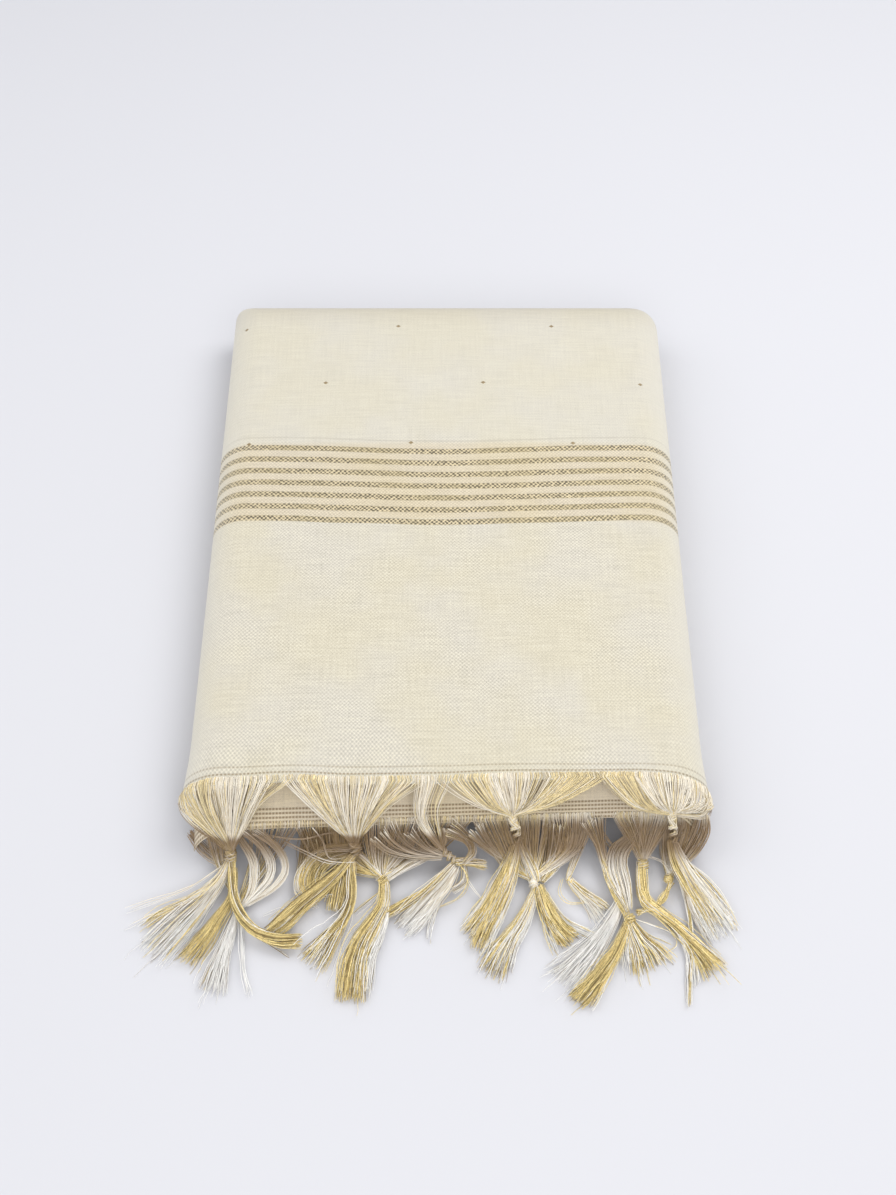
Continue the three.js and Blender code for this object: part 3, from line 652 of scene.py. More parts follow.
# Partly the threads' own dark tone, partly painted shade between strands.
THREAD_BROWN_AND_SHADE = (0.22, 0.14, 0.06, 1.0)
KNOT_CREAM = (0.96, 0.86, 0.67, 1.0)
# Painted shade on the threads under the second hem.
UNDER_HEM_PAINTED_SHADE = (0.25, 0.15, 0.065, 1.0)
SKY_WHITE = (0.95, 0.96, 1.0, 1.0)
WARM_SHARES = (1.0, 0.975, 0.94)
COOL_SHARES = (0.99, 0.985, 1.05)
# Painted light and a warmer tint for the second end's cream.
SECOND_END_PAINTED_LIGHT_SHARES = (1.18, 1.09, 0.99)
BEIGE_SHARES = (0.95, 0.89, 0.78)

# How often slubs change in a metre, across the cloth and along it, and how far each kind counts.
WEFT_SLUBS = (55.0, 1050.0)
WARP_SLUBS = (1200.0, 48.0)
WEFT_SHARE = 0.62
WARP_SHARE = 0.38
ZARI_PITCH = 1.1
SPECKLE_PITCH = 0.95
BUMP_DISTANCE = 0.30

# The stage, in metres. A softbox has a share of the power that the settings give.
FLOOR_HALF = 2.5
Softbox = namedtuple("Softbox", "name place target size share")
SOFTBOXES = (
    Softbox("softbox right", (0.50, 0.32, 0.95), (0, 0, 0), (0.7, 0.7), 0.42),
    Softbox("softbox left", (-0.70, 0.15, 0.80), (0, 0, 0), (0.8, 0.8), 0.18),
    Softbox("softbox near", (0.1, -0.95, 0.90), (0, -0.10, 0), (1.2, 0.6), 0.44),
)


# ---------------------------------------------------------------- sizes that a user would change


class ClothSettings(bpy.types.PropertyGroup):
    thickness: FloatProperty(
        name="Thickness", description="Four plies of the cloth that lie together",
        default=1.1 * MM, unit="LENGTH",
    )
    yarn_pitch: FloatProperty(
        name="Yarn pitch", description="From one yarn of the weave to the next",
        default=0.95 * MM, precision=5, unit="LENGTH",
    )
    stripe_pitch: FloatProperty(
        name="Stripe pitch", description="From one zari stripe to the next",
        default=7.62 * MM, precision=5, unit="LENGTH",
    )
    stripe_width: FloatProperty(
        name="Stripe width", description="Width of a zari stripe", default=3.5 * MM,
        precision=5, unit="LENGTH",
    )
    stripes: IntProperty(name="Stripes", description="Number of zari stripes", default=7, min=1)
    cream: FloatVectorProperty(
        name="Cream", description="Colour of the ground weave", subtype="COLOR", size=3,
        default=(0.578, 0.544, 0.432),
    )
    zari: FloatVectorProperty(
        name="Zari", description="Colour of the metal yarn in the stripes", subtype="COLOR", size=3,
        default=(0.262, 0.214, 0.122),
    )


class FringeSettings(bpy.types.PropertyGroup):
    radius: FloatProperty(
        name="Thread radius", description="Half the thickness of a fringe thread",
        default=0.162 * MM, precision=5, unit="LENGTH",
    )
    steps: IntProperty(
        name="Steps", description="Stretches that a thread is made of", default=16, min=4
    )
    white: FloatVectorProperty(
        name="White", description="Colour of the plain threads", subtype="COLOR", size=3,
        default=(1.0, 0.96, 0.87),
    )
    gold: FloatVectorProperty(
        name="Gold", description="Colour of the zari threads", subtype="COLOR", size=3,
        default=(0.90, 0.69, 0.29),
    )


class StageSettings(bpy.types.PropertyGroup):
    floor: FloatVectorProperty(
        name="Floor", description="Colour of the floor", subtype="COLOR", size=3,
        default=(0.622, 0.622, 0.644),
    )
    softbox: FloatProperty(
        name="Softbox", description="Power of the light above", default=13.0, unit="POWER"
    )
    sky: FloatProperty(name="Sky", description="Strength of the light all round", default=0.76)


# ---------------------------------------------------------------- node helpers


class Bench:
    """Places nodes in one tree and joins them."""

    def __init__(self, tree):
        self.tree = tree
        tree.nodes.clear()

    def add(self, kind, inputs=None, **settings):
        node = self.tree.nodes.new(kind)
        for name, value in settings.items():
            setattr(node, name, value)
        for socket, value in (inputs or {}).items():
            self.put(node.inputs[socket], value)
        return node

    def put(self, socket, value):
        if isinstance(value, bpy.types.NodeSocket):
            self.tree.links.new(value, socket)
        else:
            socket.default_value = value

    def math(self, operation, *values):
        return self.add("ShaderNodeMath", dict(enumerate(values)), operation=operation).outputs[0]

    def vector(self, operation, *values):
        node = self.add("ShaderNodeVectorMath", operation=operation)
        for socket, value in zip(node.inputs, values):
            self.put(socket, value)
        return node.outputs["Vector"]

    def scale(self, vector, amount):
        node = self.add("ShaderNodeVectorMath", {0: vector, "Scale": amount}, operation="SCALE")
        return node.outputs["Vector"]

    def combine(self, x=0.0, y=0.0, z=0.0):
        return self.add("ShaderNodeCombineXYZ", {0: x, 1: y, 2: z}).outputs[0]

    def split(self, vector):
        return self.add("ShaderNodeSeparateXYZ", {0: vector}).outputs

    def noise(self, vector, scale, detail=2.0, roughness=0.5):
        values = {"Vector": vector, "Scale": scale, "Detail": detail, "Roughness": roughness}
        return self.add("ShaderNodeTexNoise", values).outputs

    def ramp(self, value, low, high, to_low=0.0, to_high=1.0, smooth=True):
        values = {"Value": value, "From Min": low, "From Max": high, "To Min": to_low, "To Max": to_high}
        kind = "SMOOTHSTEP" if smooth else "LINEAR"
        return self.add("ShaderNodeMapRange", values, interpolation_type=kind).outputs[0]

    def change(self, value, band, to_low=0.0, to_high=1.0):
        """A ramp over a band that is given in millimetres."""
        return self.ramp(value, band.start * MM, band.full * MM, to_low, to_high)

    def mix(self, share, a, b, blend="MIX"):
        node = self.add("ShaderNodeMix", data_type="RGBA", blend_type=blend)
        colours = [socket for socket in node.inputs if socket.type == "RGBA"]
        self.put(node.inputs[0], share)
        self.put(colours[0], a)
        self.put(colours[1], b)
        return next(socket for socket in node.outputs if socket.type == "RGBA")

    def group(self, tree, inputs):
        node = self.tree.nodes.new("ShaderNodeGroup")
        node.node_tree = tree
        for socket, value in inputs.items():
            self.put(node.inputs[socket], value)
        return node.outputs


def new_group(name, kind, inputs, outputs):
    """A node group with named sockets, its bench, its inputs' sockets and its output node."""
    tree = bpy.data.node_groups.new(name, kind)
    for socket, sort, default in inputs:
        made = tree.interface.new_socket(name=socket, in_out="INPUT", socket_type=sort)
        if default is not None:
            made.default_value = default
    for socket, sort in outputs:
        tree.interface.new_socket(name=socket, in_out="OUTPUT", socket_type=sort)
    bench = Bench(tree)
    given = bench.add("NodeGroupInput").outputs
    return tree, bench, given, bench.add("NodeGroupOutput")


def opaque(colour):
    return (*colour, 1.0)


def toned(colour, factor, lift=0.0):
    """An opaque colour that is lighter or darker than the one given."""
    return opaque([min(channel * factor + lift, 1) for channel in colour])


def tinted(colour, shares):
    return [channel * share for channel, share in zip(colour, shares)]


# ---------------------------------------------------------------- shader groups


def slub_noise(bench, x, y, often):
    """Noise that is drawn out along the yarns."""
    across, along = often
    drawn = bench.combine(bench.math("MULTIPLY", x, across), bench.math("MULTIPLY", y, along))
    return bench.noise(drawn, 1.0, 3.0)[0]


def weave_group():
    """The ground weave: a height, and a tone that carries its slubs."""
    inputs = (("Place", "NodeSocketVector", None), ("Pitch", "NodeSocketFloat", 0.001))
    outputs = (("Height", "NodeSocketFloat"), ("Tone", "NodeSocketFloat"))
    tree, bench, given, out = new_group("Ground weave", "ShaderNodeTree", inputs, outputs)
    place, pitch = given["Place"], given["Pitch"]
    wander = bench.scale(bench.noise(place, 240.0, 1.0)["Color"], 0.0006)
    x, y, _ = bench.split(bench.vector("ADD", place, wander))
    turn = bench.math("DIVIDE", math.tau, pitch)
    warp = bench.math("SINE", bench.math("MULTIPLY", x, turn))
    weft = bench.math("SINE", bench.math("MULTIPLY", y, turn))
    cross = bench.math("MULTIPLY", warp, weft)
    weft_slub = bench.math("MULTIPLY", slub_noise(bench, x, y, WEFT_SLUBS), WEFT_SHARE)
    warp_slub = bench.math("MULTIPLY", slub_noise(bench, x, y, WARP_SLUBS), WARP_SHARE)
    grain = bench.noise(place, 1500.0, 2.0, 0.7)[0]
    slubs = bench.math("ADD", weft_slub, warp_slub)
    height = bench.math("ADD", bench.math("MULTIPLY", cross, 0.35), bench.math("MULTIPLY", slubs, 1.1))
    bench.put(out.inputs["Height"], bench.math("ADD", height, bench.math("MULTIPLY", grain, 0.5)))
    tone = bench.math("ADD", slubs, bench.math("MULTIPLY", cross, 0.07))
    tone = bench.math("ADD", tone, bench.math("MULTIPLY", bench.math("SUBTRACT", grain, 0.5), 0.75))
    bench.put(out.inputs["Tone"], tone)
    return tree


def lines_group():
    """A run of even lines across a length: 1 on a line and 0 off it."""
    inputs = (
        ("Length", "NodeSocketFloat", 0.0),
        ("First", "NodeSocketFloat", 0.0),
        ("Pitch", "NodeSocketFloat", 0.01),
        ("Last", "NodeSocketFloat", 3.0),
        ("Half Width", "NodeSocketFloat", 0.001),
        ("Softness", "NodeSocketFloat", 0.0002),
    )
    outputs = (("Mask", "NodeSocketFloat"),)
    tree, bench, given, out = new_group("Woven lines", "ShaderNodeTree", inputs, outputs)
    along = bench.math("DIVIDE", bench.math("SUBTRACT", given["Length"], given["First"]), given["Pitch"])
    nearest = bench.math("MINIMUM", bench.math("MAXIMUM", bench.math("ROUND", along), 0.0), given["Last"])
    aside = bench.math("MULTIPLY", bench.math("SUBTRACT", along, nearest), given["Pitch"])
    away = bench.math("ABSOLUTE", aside)
    low = bench.math("SUBTRACT", given["Half Width"], given["Softness"])
    high = bench.math("ADD", given["Half Width"], given["Softness"])
    bench.put(out.inputs["Mask"], bench.ramp(away, low, high, 1.0, 0.0))
    return tree


def motif_group():
    """Small woven dots in a half-drop repeat, over the field beyond the stripes."""
    inputs = (
        ("Place", "NodeSocketVector", None),
        ("Across", "NodeSocketFloat", 0.083),
        ("Row", "NodeSocketFloat", 0.0415),
        ("Skew", "NodeSocketFloat", 0.0),
        ("Size", "NodeSocketFloat", 0.001),
    )
    outputs = (("Mask", "NodeSocketFloat"),)
    tree, bench, given, out = new_group("Woven dots", "ShaderNodeTree", inputs, outputs)
    x, y, _ = bench.split(given["Place"])
    row_at = bench.math("DIVIDE", y, given["Row"])
    row = bench.math("ROUND", row_at)
    shift = bench.math("MULTIPLY", bench.math("FLOORED_MODULO", row, 2.0), 0.5)
    skewed = bench.math("ADD", x, bench.math("MULTIPLY", row, given["Skew"]))
    column_at = bench.math("SUBTRACT", bench.math("DIVIDE", skewed, given["Across"]), shift)
    column = bench.math("ROUND", column_at)
    column_share = bench.math("ABSOLUTE", bench.math("SUBTRACT", column_at, column))
    row_share = bench.math("ABSOLUTE", bench.math("SUBTRACT", row_at, row))
    across = bench.math("MULTIPLY", column_share, given["Across"])
    along = bench.math("MULTIPLY", row_share, given["Row"])
    away = bench.math("ADD", bench.math("MULTIPLY", across, 0.75), along)
    core = bench.math("MULTIPLY", given["Size"], 0.7)
    bench.put(out.inputs["Mask"], bench.ramp(away, core, given["Size"], 1.0, 0.0))
    return tree


# ---------------------------------------------------------------- materials


def shaded_material(name, **values):
    """A material with a Principled shader whose own sockets hold the values given."""
    material = bpy.data.materials.new(name)
    material.use_nodes = True
    bench = Bench(material.node_tree)
    shader = bench.add("ShaderNodeBsdfPrincipled")
    output = bench.add("ShaderNodeOutputMaterial")
    bench.put(output.inputs["Surface"], shader.outputs["BSDF"])
    for socket, value in values.items():
        shader.inputs[socket.replace("_", " ")].default_value = value
    return material, bench, shader


def woven_place(bench):
    """The place on the flat cloth, in metres: across it, and along it from the hem."""
    return bench.add("ShaderNodeUVMap", uv_map="cloth").outputs[0]


def object_place(bench):
    """The place in the frame, in metres, as x, y and z."""
    return bench.split(bench.add("ShaderNodeTexCoord").outputs["Object"])


def waver(bench, place, often, reach):
    """How far a woven line wanders to either side."""
    return bench.math("MULTIPLY", bench.math("SUBTRACT", bench.noise(place, often, 1.0)[0], 0.5), reach)


def dashes(bench, x, pitch, low, least):
    """A run of dashes across the cloth, from 1 on a dash to the least between two."""
    wave = bench.math("SINE", bench.math("MULTIPLY", x, math.tau / pitch))
    return bench.ramp(wave, low, 0.3, least, 1.0)


def bumpy(bench, shader, height, strength, distance=BUMP_DISTANCE):
    values = {"Strength": strength, "Distance": distance * MM, "Height": height}
    bench.put(shader.inputs["Normal"], bench.add("ShaderNodeBump", values).outputs[0])


def yarn_crossings(bench, place, pitch, unevenness):
    """Crossings of a plain weave, from -1 to 1: warp over weft and under it, each a little uneven."""
    wander = bench.scale(bench.noise(place, 60.0, 1.0)["Color"], 2.5 * MM)
    x, y, _ = bench.split(bench.vector("ADD", place, wander))
    turn = math.tau / (2 * pitch)
    warp = bench.math("SINE", bench.math("MULTIPLY", x, turn))
    weft = bench.math("SINE", bench.math("MULTIPLY", y, turn))
    own = bench.math("SUBTRACT", bench.noise(place, 0.7 / pitch, 0.0)[0], 0.5)
    return bench.math("ADD", bench.math("MULTIPLY", warp, weft), bench.math("MULTIPLY", own, unevenness))


def zari_colour(bench, place, base):
    """Metal yarn in an uneven plain weave, and its level: dark under the weft and bright over it, partly the
    weave's own pattern and partly painted shade and a painted glint.
    """
    level = bench.ramp(yarn_crossings(bench, place, ZARI_PITCH * MM, 2.0), -0.55, 0.55, smooth=False)
    colour = bench.mix(level, toned(base, 0.3), toned(base, 2.3, 0.08))
    olive = bench.noise(place, 30.0, 2.0)[0]
    return bench.mix(bench.ramp(olive, 0.4, 0.62, 0.0, 0.32), colour, OLIVE_ZARI), level


def ground_colour(bench, place, tone, base):
    """Cream that drifts a little over the cloth, with its slubs lighter and darker."""
    drift = bench.noise(place, 20.0, 3.0)[0]
    warm = opaque(tinted(base, WARM_SHARES))
    cool = opaque(tinted(base, COOL_SHARES))
    colour = bench.mix(bench.ramp(drift, 0.36, 0.64), warm, cool)
    dark = bench.ramp(tone, 0.50, 0.32, 0.0, 0.42)
    light = bench.ramp(tone, 0.50, 0.68, 0.0, 0.7)
    colour = bench.mix(dark, colour, toned(base, 0.74))
    return bench.mix(light, colour, toned(base, 1.13))


def first_end_material(settings, groups):
    material, bench, shader = shaded_material(
        "cream cloth with zari stripes", Roughness=0.78, Sheen_Weight=0.22, Sheen_Roughness=0.45,
        Specular_IOR_Level=0.3,
    )
    place = woven_place(bench)
    weave = bench.group(groups["weave"], {"Place": place, "Pitch": settings.yarn_pitch})
    x, y, _ = bench.split(place)

    outward = bench.math("ABSOLUTE", x)
    bow = bench.change(outward, STRIPE_BOW_FADE, STRIPE_BOW * MM, 0.0)
    wander = waver(bench, place, 26.0, 1.6 * MM)
    bowed = bench.math("ADD", bench.math("ADD", y, bow), wander)
    stripes = bench.group(groups["lines"], {
        "Length": bowed, "First": STRIPES_FROM_HEM * MM, "Pitch": settings.stripe_pitch,
        "Last": settings.stripes - 1.0, "Half Width": settings.stripe_width / 2, "Softness": 0.35 * MM,
    })["Mask"]
    hem_waver = bench.math("ADD", y, bench.math("MULTIPLY", wander, 0.35))
    hem_lines = bench.group(groups["lines"], {
        "Length": hem_waver, "First": 4.1 * MM, "Pitch": 2.7 * MM,
        "Last": 1.0, "Half Width": 0.34 * MM, "Softness": 0.28 * MM,
    })["Mask"]
    hem_dashes = bench.math("MULTIPLY", hem_lines, dashes(bench, x, 1.7 * MM, -0.7, 0.35))
    hem_mask = bench.math("MULTIPLY", hem_dashes, bench.change(y, HEM_LINE_FADE, 0.85, 0.5))
    edge_line = bench.group(groups["lines"], {
        "Length": bowed, "First": FIELD_EDGE_LINE * MM, "Pitch": 1.0, "Last": 0.0,
        "Half Width": 0.5 * MM, "Softness": 0.4 * MM,
    })["Mask"]

    motif = bench.group(groups["motif"], {
        "Place": bench.vector("SUBTRACT", place, (-0.018, 0.193, 0.0)), "Across": 83.5 * MM, "Row": 42 * MM,
        "Skew": 4 * MM, "Size": 1.2 * MM,
    })["Mask"]
    motif = bench.math("MULTIPLY", motif, bench.change(y, FIELD_START))

    ground = ground_colour(bench, place, weave["Tone"], settings.cream)
    patches = bench.ramp(bench.noise(place, 24.0, 2.0)[0], 0.35, 0.65, 0.08, 0.2)
    plain = bench.math("MULTIPLY", patches, bench.change(y, SPECKLE_FADE, 1.0, 0.15))
    speckle = bench.math("MULTIPLY", yarn_crossings(bench, place, SPECKLE_PITCH * MM, 0.7), plain)
    ground = bench.scale(ground, bench.math("ADD", speckle, 1.0))
    beyond_start = bench.change(y, STRIPE_GROUND_START)
    before_end = bench.change(y, STRIPE_GROUND_END, 1.0, 0.0)
    between = bench.math("MULTIPLY", beyond_start, before_end)
    ground = bench.mix(between, ground, STRIPE_GROUND_TINT, "MULTIPLY")
    ground = bench.mix(bench.change(y, FIELD_SHADE_START, 0.0, 0.30), ground, FIELD_SHADE)
    ground = bench.mix(bench.math("MULTIPLY", edge_line, 0.25), ground, FIELD_EDGE_BROWN)
    # Painted shade: a darker band where the top rolls away over the far fold.
    far_painted_shade = bench.math("MULTIPLY", bench.change(object_place(bench)[1], FAR_SHADE_START), 0.34)
    ground = bench.mix(far_painted_shade, ground, FAR_SHADE)
    metal, level = zari_colour(bench, place, settings.zari)
    # Painted light: the side rolls, which turn away from the light above, are lightened.
    ground = bench.mix(bench.change(outward, SIDE_PAINTED_LIGHT_START, 0.0, 0.7), ground, SIDE_PAINTED_LIGHT)
    stripe_mask = bench.math("MULTIPLY", stripes, bench.change(outward, STRIPE_FADE, 0.94, 0.72))
    colour = bench.mix(stripe_mask, ground, metal)
    colour = bench.mix(bench.math("MULTIPLY", hem_mask, 0.85), colour, FIRST_HEM_BROWN)
    colour = bench.mix(bench.math("MULTIPLY", motif, 0.9), colour, DOT_BROWN)
    bench.put(shader.inputs["Base Color"], colour)

    zari_mask = bench.math("MAXIMUM", stripe_mask, bench.math("MAXIMUM", hem_mask, motif))
    shine = bench.math("MULTIPLY", zari_mask, level)
    bench.put(shader.inputs["Metallic"], bench.math("MULTIPLY", shine, 0.45))
    bench.put(shader.inputs["Roughness"], bench.ramp(zari_mask, 0.0, 1.0, 0.80, 0.42, smooth=False))
    raised = bench.math("MULTIPLY", zari_mask, bench.math("ADD", level, 0.6))
    bumpy(bench, shader, bench.math("ADD", weave["Height"], raised), 0.42)
    return material


def second_end_material(settings, groups):
    material, bench, shader = shaded_material(
        "cream cloth in shade", Roughness=0.8, Sheen_Weight=0.2, Sheen_Roughness=0.45,
        Specular_IOR_Level=0.3,
    )
    place = woven_place(bench)
    weave = bench.group(groups["weave"], {"Place": place, "Pitch": settings.yarn_pitch * 0.9})
    x, y, _ = bench.split(place)
    wander = waver(bench, place, 40.0, 0.7 * MM)
    lines = bench.group(groups["lines"], {
        "Length": bench.math("ADD", y, wander), "First": 0.9 * MM, "Pitch": 1.95 * MM,
        "Last": 4.0, "Half Width": 0.5 * MM, "Softness": 0.3 * MM,
    })["Mask"]
    mask = bench.math("MULTIPLY", lines, dashes(bench, x, 1.5 * MM, -0.8, 0.45))
    # Painted light: the second end's cream is lifted brighter and warmer than the same cloth elsewhere, on
    # its shaded slope.
    ground = ground_colour(bench, place, weave["Tone"], tinted(settings.cream, SECOND_END_PAINTED_LIGHT_SHARES))
    colour = bench.mix(bench.math("MULTIPLY", mask, 0.85), ground, SECOND_HEM_BROWN)
    bench.put(shader.inputs["Base Color"], colour)
    bench.put(shader.inputs["Roughness"], bench.ramp(mask, 0.0, 1.0, 0.82, 0.5, smooth=False))
    bumpy(bench, shader, bench.math("ADD", weave["Height"], mask), 0.45)
    return material


def layers_material(settings, groups):
    material, bench, shader = shaded_material(
        "cream cloth in the fold", Roughness=0.82, Sheen_Weight=0.2, Sheen_Roughness=0.5,
        Specular_IOR_Level=0.3,
    )
    place = woven_place(bench)
    weave = bench.group(groups["weave"], {"Place": place, "Pitch": settings.yarn_pitch})
    cream = ground_colour(bench, place, weave["Tone"], settings.cream)
    # Painted shade: the near folds, which lie in the dark under the second end, turn brown.
    near_fold_shade = bench.change(object_place(bench)[1], NEAR_FOLD_SHADE_START, 0.0, 0.85)
    bench.put(shader.inputs["Base Color"], bench.mix(near_fold_shade, cream, NEAR_FOLD_PAINTED_SHADE))
    bumpy(bench, shader, weave["Height"], 0.4)
    return material


def fringe_material(settings):
    material, bench, shader = shaded_material(
        "fringe thread", Sheen_Weight=1.0, Sheen_Roughness=0.5, Specular_IOR_Level=0.45,
    )
    gold = bench.add("ShaderNodeAttribute", attribute_name="gold").outputs["Fac"]
    tone = bench.add("ShaderNodeAttribute", attribute_name="tone").outputs["Fac"]
    beige = opaque(tinted(settings.white, BEIGE_SHARES))
    white = bench.mix(bench.ramp(tone, 0.05, 0.6), beige, opaque(settings.white))
    brass = bench.mix(
        bench.ramp(tone, 0.12, 0.45), toned(settings.gold, 0.36), toned(settings.gold, 1.1, 0.06),
    )
    place = bench.add("ShaderNodeTexCoord").outputs["Object"]
    _, y, z = bench.split(place)
    white = bench.mix(bench.change(y, WHITE_ENDS_START, 0.0, 0.9), white, THREAD_END_WHITE)
    twist = bench.noise(place, 900.0, 2.0, 0.7)[0]
    colour = bench.mix(gold, white, brass)
    # Dark brown on a few threads and in flecks along the twist: partly the threads' own darker tone, partly
    # painted shade between the strands and on the twist.
    grain = bench.ramp(twist, 0.34, 0.5, 1.0, 0.0)
    twist_shade = bench.math("MULTIPLY", grain, bench.ramp(gold, 0.0, 1.0, 0.10, 0.45))
    dark = bench.math("MAXIMUM", twist_shade, bench.ramp(tone, 0.06, 0.09, 0.6, 0.0))
    colour = bench.mix(dark, colour, THREAD_BROWN_AND_SHADE)
    colour = bench.mix(bench.change(y, KNOT_CREAM_START, 0.0, 0.36), colour, KNOT_CREAM)
    # Painted shade: threads low down under and behind the second hem turn brown.
    hidden = bench.math("MULTIPLY", bench.change(y, UNDER_HEM_INWARD), bench.change(z, UNDER_HEM_LOW))
    colour = bench.mix(bench.math("MULTIPLY", hidden, UNDER_HEM_SHADE_SHARE), colour, UNDER_HEM_PAINTED_SHADE)
    bench.put(shader.inputs["Base Color"], colour)
    bench.put(shader.inputs["Sheen Tint"], colour)
    bench.put(shader.inputs["Metallic"], bench.math("MULTIPLY", gold, 0.25))
    bench.put(shader.inputs["Roughness"], bench.ramp(gold, 0.0, 1.0, 0.58, 0.36, smooth=False))
    bumpy(bench, shader, twist, 0.3, 0.1)
    return material


def floor_material(settings):
    material, bench, shader = shaded_material("floor", Roughness=0.7, Specular_IOR_Level=0.2)
    place = bench.add("ShaderNodeTexCoord").outputs["Object"]
    cloud = bench.noise(place, 1.5, 2.0)[0]
    colour = bench.mix(cloud, opaque(settings.floor), toned(settings.floor, 0.985))
    bench.put(shader.inputs["Base Color"], colour)
    return material


# ---------------------------------------------------------------- cloth forms


def crease_depth(creases, x, y):
    """How far the creases lower the cloth at each place."""
    depth = np.zeros_like(x)
    for crease in creases:
        turn = math.radians(crease.angle)
        along = (x - crease.x) * math.cos(turn) + (y - crease.y) * math.sin(turn)
        across = (y - crease.y) * math.cos(turn) - (x - crease.x) * math.sin(turn)
        bend = across + CREASE_BEND * crease.long * np.sin(along / crease.long * CREASE_BEND_TURN)
        depth += crease.deep * np.exp(-((along / crease.long) ** 2) - (bend / crease.wide) ** 2)
    return depth


def hem_course(x, values):
    """A value given at the first hem's places, smooth between them."""
    held = np.clip(x, HEM_PLACES[0], HEM_PLACES[-1])
    after = np.clip(np.searchsorted(HEM_PLACES, held), 1, len(HEM_PLACES) - 1)
    places, values = np.array(HEM_PLACES, float), np.array(values, float)
    share = (held - places[after - 1]) / (places[after] - places[after - 1])
    return values[after - 1] + (values[after] - values[after - 1]) * share * share * (3 - 2 * share)


def top_relief(x, y, creases):
    flat_x = np.clip(x, -FLAT_HALF_WIDTH, FLAT_HALF_WIDTH)
    flat_y = np.clip(y, -FLAT_FAR, FLAT_FAR)
    crown = CROWN * (1 - (flat_x / FLAT_HALF_WIDTH) ** 2) * (1 - (flat_y / FLAT_FAR) ** 4)
    return crown - crease_depth(creases, flat_x, flat_y)


def first_end_points(across, along, depth, creases=TOP_CREASES):
    """Places on the first end: a flat top whose sides and far edge roll down and under."""
    side = np.maximum(np.abs(across) - FLAT_HALF_WIDTH, 0) / SIDE_ROLL
    far = np.maximum(along - FLAT_FAR, 0) / SIDE_ROLL
    power = np.where(across < 0, LEFT_CORNER_POWER, RIGHT_CORNER_POWER)
    excess = (side ** power + far ** power) ** (1 / power)
    turn = np.minimum(excess, FAR_TURN)
    safe = np.where(excess > 0, excess, 1)
    flat_x = np.clip(across, -FLAT_HALF_WIDTH, FLAT_HALF_WIDTH)
    flat_y = np.minimum(along, FLAT_FAR)
    roll = SIDE_ROLL - depth
    x = flat_x + np.sign(across) * roll * np.sin(turn) * side / safe
    nearness = np.clip((FIRST_HEM + HEM_BEND - along) / HEM_BEND, 0, 1)
    end_share = nearness ** 2 * np.abs(x / HALF_WIDTH) ** HEM_END_POWER
    reach = end_share * np.where(across < 0, HEM_END_REACH_LEFT, HEM_END_REACH_RIGHT)
    reach = reach + hem_course(x, HEM_REACHES) * nearness ** 2
    y = flat_y + (FAR_ROLL - depth) * np.sin(turn) * far / safe - reach
    lift = (hem_course(x, HEM_LIFTS) - HEM_DROOP) * nearness ** 2
    z = ROLL_LEVEL + roll * np.cos(turn) + top_relief(x, y, creases) + lift
    return np.stack([x + end_share * np.sign(across) * HEM_FLARE, y, z], axis=-1)


def second_end_points(across, inward, depth, creases=SECOND_CREASES):
    """Places on the second end: inward runs from its hem, 0, to its hidden start, 1."""
    roll = np.maximum(np.abs(across) - SECOND_FLAT_HALF_WIDTH, 0) / SECOND_ROLL
    flat_x = np.clip(across, -SECOND_FLAT_HALF_WIDTH, SECOND_FLAT_HALF_WIDTH)
    x = flat_x + np.sign(across) * (SECOND_ROLL - depth) * np.sin(roll)
    share = (x + HALF_WIDTH) / STACK_WIDTH
    end_share = np.abs(x / HALF_WIDTH) ** SECOND_END_POWER
    reach = end_share * np.where(across < 0, SECOND_END_REACH_LEFT, SECOND_END_REACH_RIGHT)
    hem_y = SECOND_HEM_LEFT.y + (SECOND_HEM_RIGHT.y - SECOND_HEM_LEFT.y) * share - reach
    slope = np.arctan2(SECOND_START.z - SECOND_HEM_LEFT.z, SECOND_START.y - hem_y)
    y = hem_y + (SECOND_START.y - hem_y) * inward + depth * np.sin(slope)
    fall = SECOND_ROLL - (SECOND_ROLL - depth) * np.cos(roll)
    z = SECOND_HEM_LEFT.z + (SECOND_START.z - SECOND_HEM_LEFT.z) * inward
    z = z + SECOND_BULGE * np.sin(np.pi * inward) - fall - crease_depth(creases, x, y) * (1 - inward)
    return np.stack([x, y, z], axis=-1)


def mesh_piece(name, points, faces, places, material):
    """An object from points in millimetres, with the place of each point on the flat cloth."""
    mesh = bpy.data.meshes.new(name)
    mesh.from_pydata((points * MM).tolist(), [], faces)
    corner_points = np.empty(len(mesh.loops), np.int32)
    mesh.loops.foreach_get("vertex_index", corner_points)
    layer = mesh.uv_layers.new(name="cloth")
    layer.data.foreach_set("uv", (places[corner_points] * MM).astype(np.float32).ravel())
    mesh.shade_smooth()
    mesh.materials.append(material)
    piece = bpy.data.objects.new(name, mesh)
    bpy.context.scene.collection.objects.link(piece)
    return piece


def shell_faces(rows, columns):
    """Faces of a closed sheet whose outer points come first, then its inner ones, row by row."""
    sheet = rows * columns
    faces = []
    for j in range(rows - 1):
        for i in range(columns - 1):
            a = j * columns + i
            b = sheet + a
            faces.append((a, a + 1, a + columns + 1, a + columns))
            faces.append((b, b + columns, b + columns + 1, b + 1))
    for i in range(columns - 1):
        top = (rows - 1) * columns + i
        faces.append((i, sheet + i, sheet + i + 1, i + 1))
        faces.append((top, top + 1, sheet + top + 1, sheet + top))
    for j in range(rows - 1):
        left = j * columns
        right = left + columns - 1
        faces.append((left, left + columns, sheet + left + columns, sheet + left))
        faces.append((right, sheet + right, sheet + right + columns, right + columns))
    return faces


